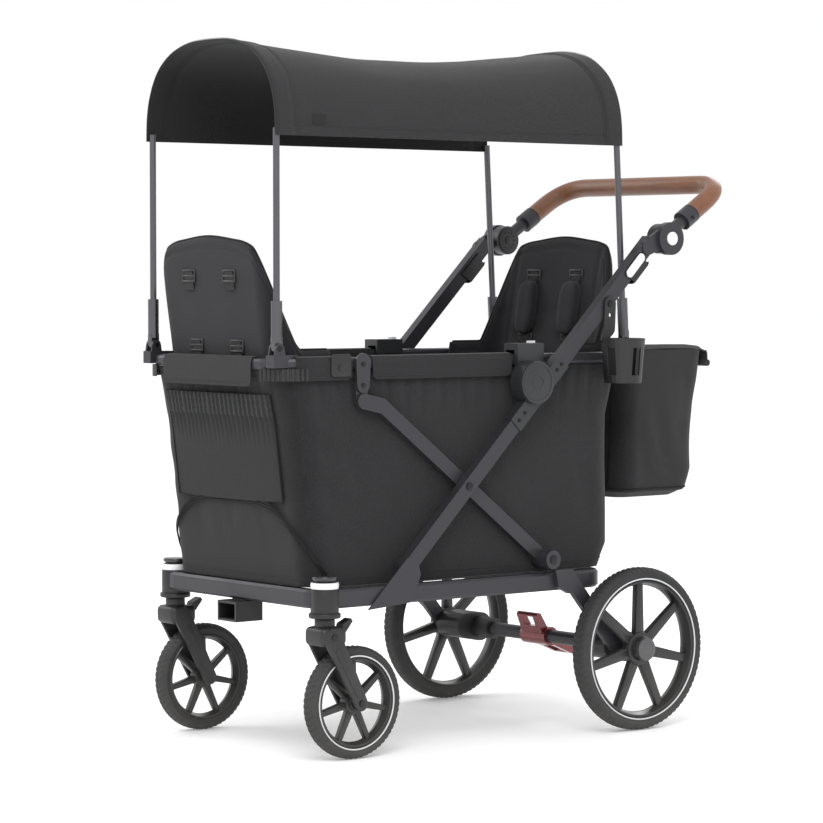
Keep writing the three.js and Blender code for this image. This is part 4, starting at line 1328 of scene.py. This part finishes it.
build_grip()
print("grip built")

# %% [markdown]
# Tyres are rubber with a rounded section, a herringbone tread pressed in by formula and a pale reflector ring
# where they meet the rim. Rims have seven tapered spokes between a lipped barrel and a hub with a round cap.

# %% Wheels
WHEELS = {
    "rear": {"x": 0.268, "joint": "rear_wheel_spin_", "body": "rear_wheel_", "r": 0.145, "rim": 0.122,
             "width": 0.040, "hub": 0.030, "cap": 0.0235, "cap_x": 0.293, "ring": 0.1250, "blocks": 76},
    "front": {"x": 0.219, "joint": "front_wheel_spin_", "body": "front_wheel_", "r": 0.095, "rim": 0.076,
              "width": 0.034, "hub": 0.020, "cap": 0.0150, "cap_x": 0.236, "ring": 0.0785, "blocks": 56},
}
SPOKE_COUNT = 7


def tyre_place(wheel, axle, u, v):
    half, depth = wheel["width"] / 2, wheel["r"] - wheel["rim"]
    if v < 0.82:
        bow = math.pi * (v / 0.82)
        bulge = 0.72 + 0.28 * min(1, 3 * math.sin(bow))
        x = -half * math.copysign(abs(math.cos(bow)) ** 0.7, math.cos(bow)) * bulge
        r = wheel["rim"] + depth * math.sin(bow) ** 0.62
    else:
        x = half * 0.72 * (1 - 2 * (v - 0.82) / 0.18)
        r = wheel["rim"]
    crown = smoothstep(r, wheel["rim"] + depth * 0.62, wheel["rim"] + depth * 0.8)
    phase = u * wheel["blocks"] + abs(x) / half * 0.9
    cut_in = 0.0013 * (math.sin(2 * math.pi * phase) > 0.35) + 0.0011 * (abs(x) < 0.0012)
    turn = 2 * math.pi * u
    r -= cut_in * crown
    return Vector((axle.x + x, axle.y + r * math.cos(turn), axle.z + r * math.sin(turn)))


def axle_of(wheel, side_name, side):
    axle = pivot[wheel["joint"] + side_name].copy()
    axle.x = side * wheel["x"]
    return axle


def ring_at(radius, thickness, at, around=64, sides=8):
    """A thin ring about the X axis."""
    bpy.ops.mesh.primitive_torus_add(major_radius=radius, minor_radius=thickness, major_segments=around,
                                     minor_segments=sides, location=at, rotation=(0, math.pi / 2, 0))
    return bpy.context.object


def build_tyre(end, side_name, side):
    wheel = WHEELS[end]
    axle = axle_of(wheel, side_name, side)
    tyre = outward(sheet(wheel["blocks"] * 6, 34, lambda u, v: tyre_place(wheel, axle, u, v), close=True))
    name = f"{end}_tyre_tread_{side_name}"
    stand_for(tyre, name, "tyre_rubber", "rubber", f"{end}_tyre_{side_name}", angle=35)
    face = wheel["width"] / 2 * 0.80
    ring = ring_at(wheel["ring"], 0.0013, axle + Vector((side * face, 0, 0)), around=120)
    settle(ring, f"{end}_reflector_ring_{side_name}", "reflector", wheel["body"] + side_name)


def build_rim(end, side_name, side):
    wheel = WHEELS[end]
    axle = axle_of(wheel, side_name, side)
    rim, half, hub = wheel["rim"], wheel["width"] / 2, wheel["hub"]
    barrel = turned([(-half * 0.68, rim - 0.0002), (half * 0.68, rim - 0.0002), (half * 0.74, rim - 0.0014),
                     (half * 0.70, rim - 0.0045), (half * 0.3, rim - 0.0075), (0, rim - 0.0095),
                     (-half * 0.3, rim - 0.0075), (-half * 0.70, rim - 0.0045)], axle, 96)
    model = plate(capsule((0, hub * 0.72), (0, rim - 0.008), 0.0085 * rim / 0.1, 0.0062 * rim / 0.1),
                  axle.x - 0.0065, axle.x + 0.0065, bevel=0.0022)
    model.location = (0, axle.y, axle.z)
    bpy.ops.object.transform_apply(location=True, rotation=True, scale=True)
    places = [about_x((0, axle.y, axle.z), 2 * math.pi * k / SPOKE_COUNT) for k in range(SPOKE_COUNT)]
    spokes = copies(model, places)
    drum = rod(hub, 0.0185, axle, (1, 0, 0), 48, 0.0025)
    out = Vector((side, 0, 0))
    reach = wheel["cap_x"] - wheel["x"]
    neck = rod(wheel["cap"] * 0.94, reach - 0.002, axle + out * (reach - 0.002) / 2, (1, 0, 0), 48, 0.002)
    whole = joined([barrel, spokes, drum, neck])
    stand_for(whole, f"{end}_spoked_rim_{side_name}", "rim_plastic", "rim", f"{end}_rim_{side_name}")
    finish = "cap_grey" if end == "rear" else "dark_screw"
    cap = rod(wheel["cap"] * 0.86, 0.0016, axle + out * (reach - 0.0006), (1, 0, 0), 40, 0.0007)
    ring = ring_at(wheel["cap"] * 0.6, 0.0007, axle + out * (reach + 0.0001), around=48, sides=6)
    settle(joined([cap, ring]), f"{end}_hub_cap_{side_name}", finish, wheel["body"] + side_name)


for end_name in WHEELS:
    for side_name, side in SIDES.items():
        build_tyre(end_name, side_name, side)
        build_rim(end_name, side_name, side)
print("wheels built")

# %% [markdown]
# Last come the small fittings: cap rings on the casters, a cover on each fold hub, screws and rivets at the
# joints, grooved discs inside the handle bosses and pins through the canopy's clevises. Each rides the body
# that it is fixed to.

# %% Fittings
UPRIGHT_TILT = math.radians(44.8)


def up_tube(along):
    foot = pivot["frame_fold"]
    return foot.y + along / 1000 * math.cos(UPRIGHT_TILT), foot.z + along / 1000 * math.sin(UPRIGHT_TILT)


def screw(x, y, z, side, r=0.0034):
    """A pan-head screw with a hexagon recess, facing out to one side."""
    head = rod(r, 0.0022, (side * (x + 0.0009), y, z), (1, 0, 0), 24, 0.0007)
    recess = rod(r * 0.5, 0.0004, (side * (x + 0.0021), y, z), (1, 0, 0), 6, 0)
    return [head, recess]


def fitting(pieces, name, finish, body):
    whole = joined(pieces) if len(pieces) > 1 else pieces[0]
    return settle(whole, name, finish, body, angle=35)


def accent_ring(r_in, r_out, z0, z1, at):
    """A flat ring about the Z axis, a little fuller at half its height."""
    section = [(z0, r_in), (z0, r_out), ((z0 + z1) / 2, r_out + 0.0008), (z1, r_out), (z1, r_in), (z0, r_in)]

    def place(u, v):
        z, r = section[min(5, int(round(v * 5)))]
        turn = 2 * math.pi * u
        return Vector((at.x + r * math.cos(turn), at.y + r * math.sin(turn), z))

    return outward(sheet(56, 5, place, close=True))


def build_fork(side_name, side, caster):
    """A moulded fork: a rounded crown on the swivel's stem, two tapered arms and the axle between them."""
    axle = pivot["front_wheel_spin_" + side_name]
    bpy.ops.mesh.primitive_cube_add(size=1, location=caster + Vector((0, 0.002, 0.210)))
    crown = bpy.context.object
    crown.scale = (0.055, 0.052, 0.032)
    bpy.ops.object.transform_apply(location=True, rotation=True, scale=True)
    apply_modifier(crown, "BEVEL", width=0.0095, segments=4)
    parts = [crown, rod(0.017, 0.014, caster + Vector((0, 0, 0.232)), (0, 0, 1), 40, 0.0016),
             rod(0.0086, 0.062, caster + Vector((0, 0, 0.256)), (0, 0, 1), 24),
             rod(0.0052, 0.042, (caster.x, axle.y, axle.z), (1, 0, 0), 20)]
    head, foot = (caster.y - 0.002, 0.208), (axle.y, axle.z)
    arm = capsule(head, foot, 0.0175, 0.0132, 16)
    rib = capsule(mix_pair(head, foot, 0.2), mix_pair(head, foot, 0.86), 0.0072, 0.0048)
    for sign in (1, -1):
        near = caster.x + sign * 0.0209
        parts.append(plate(arm, near, near + sign * 0.0074, 0.0026))
        parts.append(plate(rib, near + sign * 0.006, near + sign * 0.0086, 0.0012))
    fork = fitting(parts, "caster_fork_shell_" + side_name, "black_plastic", "caster_" + side_name)
    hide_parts("caster_fork_" + side_name)
    bolt = rod(0.0058, 0.0022, (side * 0.2479, caster.y, 0.210), (1, 0, 0), 24, 0.0008)
    nut = rod(0.0062, 0.0024, (side * 0.2486, axle.y, axle.z), (1, 0, 0), 6, 0.0006)
    fitting([bolt, nut], "caster_fork_bolts_" + side_name, "dark_screw", "caster_" + side_name)


def mix_pair(a, b, t):
    return mix(a[0], b[0], t), mix(a[1], b[1], t)


ACROSS = (1, 0, 0)
UP = (0, 0, 1)


def raised(at, height):
    return at + Vector((0, 0, height))


def build_caster(side_name, side):
    caster = at_mm(side * 219, -428, 0)
    barrel = rod(0.0236, 0.0445, raised(caster, 0.2668), UP, 48, 0.0015)
    collar = rod(0.0268, 0.0085, raised(caster, 0.2445), UP, 48, 0.0022)
    fitting([barrel, collar], "caster_barrel_" + side_name, "black_plastic", "chassis")
    build_fork(side_name, side, caster)
    ring = accent_ring(0.0195, 0.0232, 0.2895, 0.2995, caster)
    settle(ring, "caster_accent_" + side_name, "white_plastic", "chassis", angle=50)
    dome = rod(0.0212, 0.0075, raised(caster, 0.3062), UP, 48, 0.0028)
    fitting([dome], "caster_cap_" + side_name, "caster_gloss", "chassis")


print("caster makers ready")

# %% [markdown]
# The tubes take the rest: a ringed cover on each fold hub, screws above and below it, a pale release pill on
# each trigger, caps on the pivots, and a strip of cloth that closes the gap between basket and bottom ring.

# %% Fittings on the tubes and the handle
HUB_ALONG_MM = 411
TUBE_FACE_X = 0.237
HUB_SLEEVE_X = 0.239


def build_upright(side_name, side):
    hub = at_mm(side * 247.2, 15, 622.5)
    cover = [rod(0.0368, 0.0026, hub, ACROSS, 64, 0.0009)]
    for radius in (0.0315, 0.012):
        cover.append(ring_at(radius, 0.0009, hub + Vector((side * 0.0013, 0, 0))))
    fitting(cover, "fold_hub_cover_" + side_name, "hub_plastic", "uprights")
    screws = []
    for offset in (-70, -52, 52, 66):
        screws += screw(HUB_SLEEVE_X, *up_tube(HUB_ALONG_MM + offset), side)
    screws += screw(TUBE_FACE_X, *up_tube(752), side, 0.0038)
    fitting(screws, "upright_screws_" + side_name, "dark_screw", "uprights")
    face = max(abs(corner[0]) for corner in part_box("fold_trigger_" + side_name))
    pill_outline = capsule(up_tube(703), up_tube(741), 0.0082, 0.0082)
    pill = plate(pill_outline, side * (face - 0.0004), side * (face + 0.0018), bevel=0.0009)
    fitting([pill], "fold_trigger_face_" + side_name, "white_plastic", "fold_trigger_" + side_name)
    gap_outline = [(-0.402, 0.2876), (0.18, 0.2876), (0.18, 0.2888), (-0.402, 0.2888)]
    strip = plate(gap_outline, side * 0.2018, side * 0.2125, bevel=0)
    fitting([strip], "basket_lacing_strip_" + side_name, "basket_cloth", "chassis")


def build_pivot_caps(side_name, side):
    cross, low, rail_plate = at_mm(0, -130, 447.5), at_mm(0, 53, 311.5), at_mm(0, -343, 0)
    foot = pivot["frame_fold"]
    caps = {
        "cross_pivot_cap_": ("uprights", screw(TUBE_FACE_X, cross.y, cross.z, side, 0.0072)),
        "cross_arm_end_cap_": ("cross_arms", screw(0.2465, low.y, low.z, side, 0.0078)),
        "fold_pivot_rivet_": ("uprights", screw(0.2375, foot.y, foot.z, side, 0.0085)),
        "rail_plate_screws_": ("top_rail", screw(0.2155, rail_plate.y, 0.660, side, 0.0042)
                               + screw(0.2155, rail_plate.y, 0.625, side, 0.0042)),
        "collar_screw_": ("handle", screw(0.2378, *on_handle(71, 0).yz, side, 0.0034)),
    }
    for name, (body, parts) in caps.items():
        fitting(parts, name + side_name, "dark_screw", body)
    pins = []
    for y in (-498, 277):
        pin = at_mm(side * 181, y, 688)
        head = pin + Vector((side * 0.0106, 0, 0))
        pins += [rod(0.0036, 0.0235, pin, ACROSS, 20), rod(0.0055, 0.0016, head, ACROSS, 6)]
    fitting(pins, "canopy_clevis_pins_" + side_name, "dark_screw", "top_rail")


def build_handle_disc(side_name, side):
    """The grooved disc on the inner face of a handle boss, with a hexagon at its centre."""
    handle = pivot["handle_angle"]
    parts = [rod(0.0225, 0.0026, (side * 0.2076, handle.y, handle.z), ACROSS, 48, 0.0008),
             rod(0.0085, 0.003, (side * 0.2062, handle.y, handle.z), ACROSS, 6, 0.0006)]
    for turn in (math.pi * k / 6 for k in range(12)):
        y, z = handle.y + 0.0155 * math.cos(turn), handle.z + 0.0155 * math.sin(turn)
        parts.append(rod(0.0011, 0.0016, (side * 0.2060, y, z), ACROSS, 8, 0))
    fitting(parts, "handle_inner_disc_" + side_name, "black_plastic", "handle")


for side_name, side in SIDES.items():
    build_caster(side_name, side)
    build_upright(side_name, side)
    build_pivot_caps(side_name, side)
    build_handle_disc(side_name, side)
cup_rivet = screw(0.2415, *at_mm(0, 190, 758).yz, 1, 0.0062)
fitting(cup_rivet, "cup_holder_rivet", "dark_screw", "uprights")
print("fittings built")
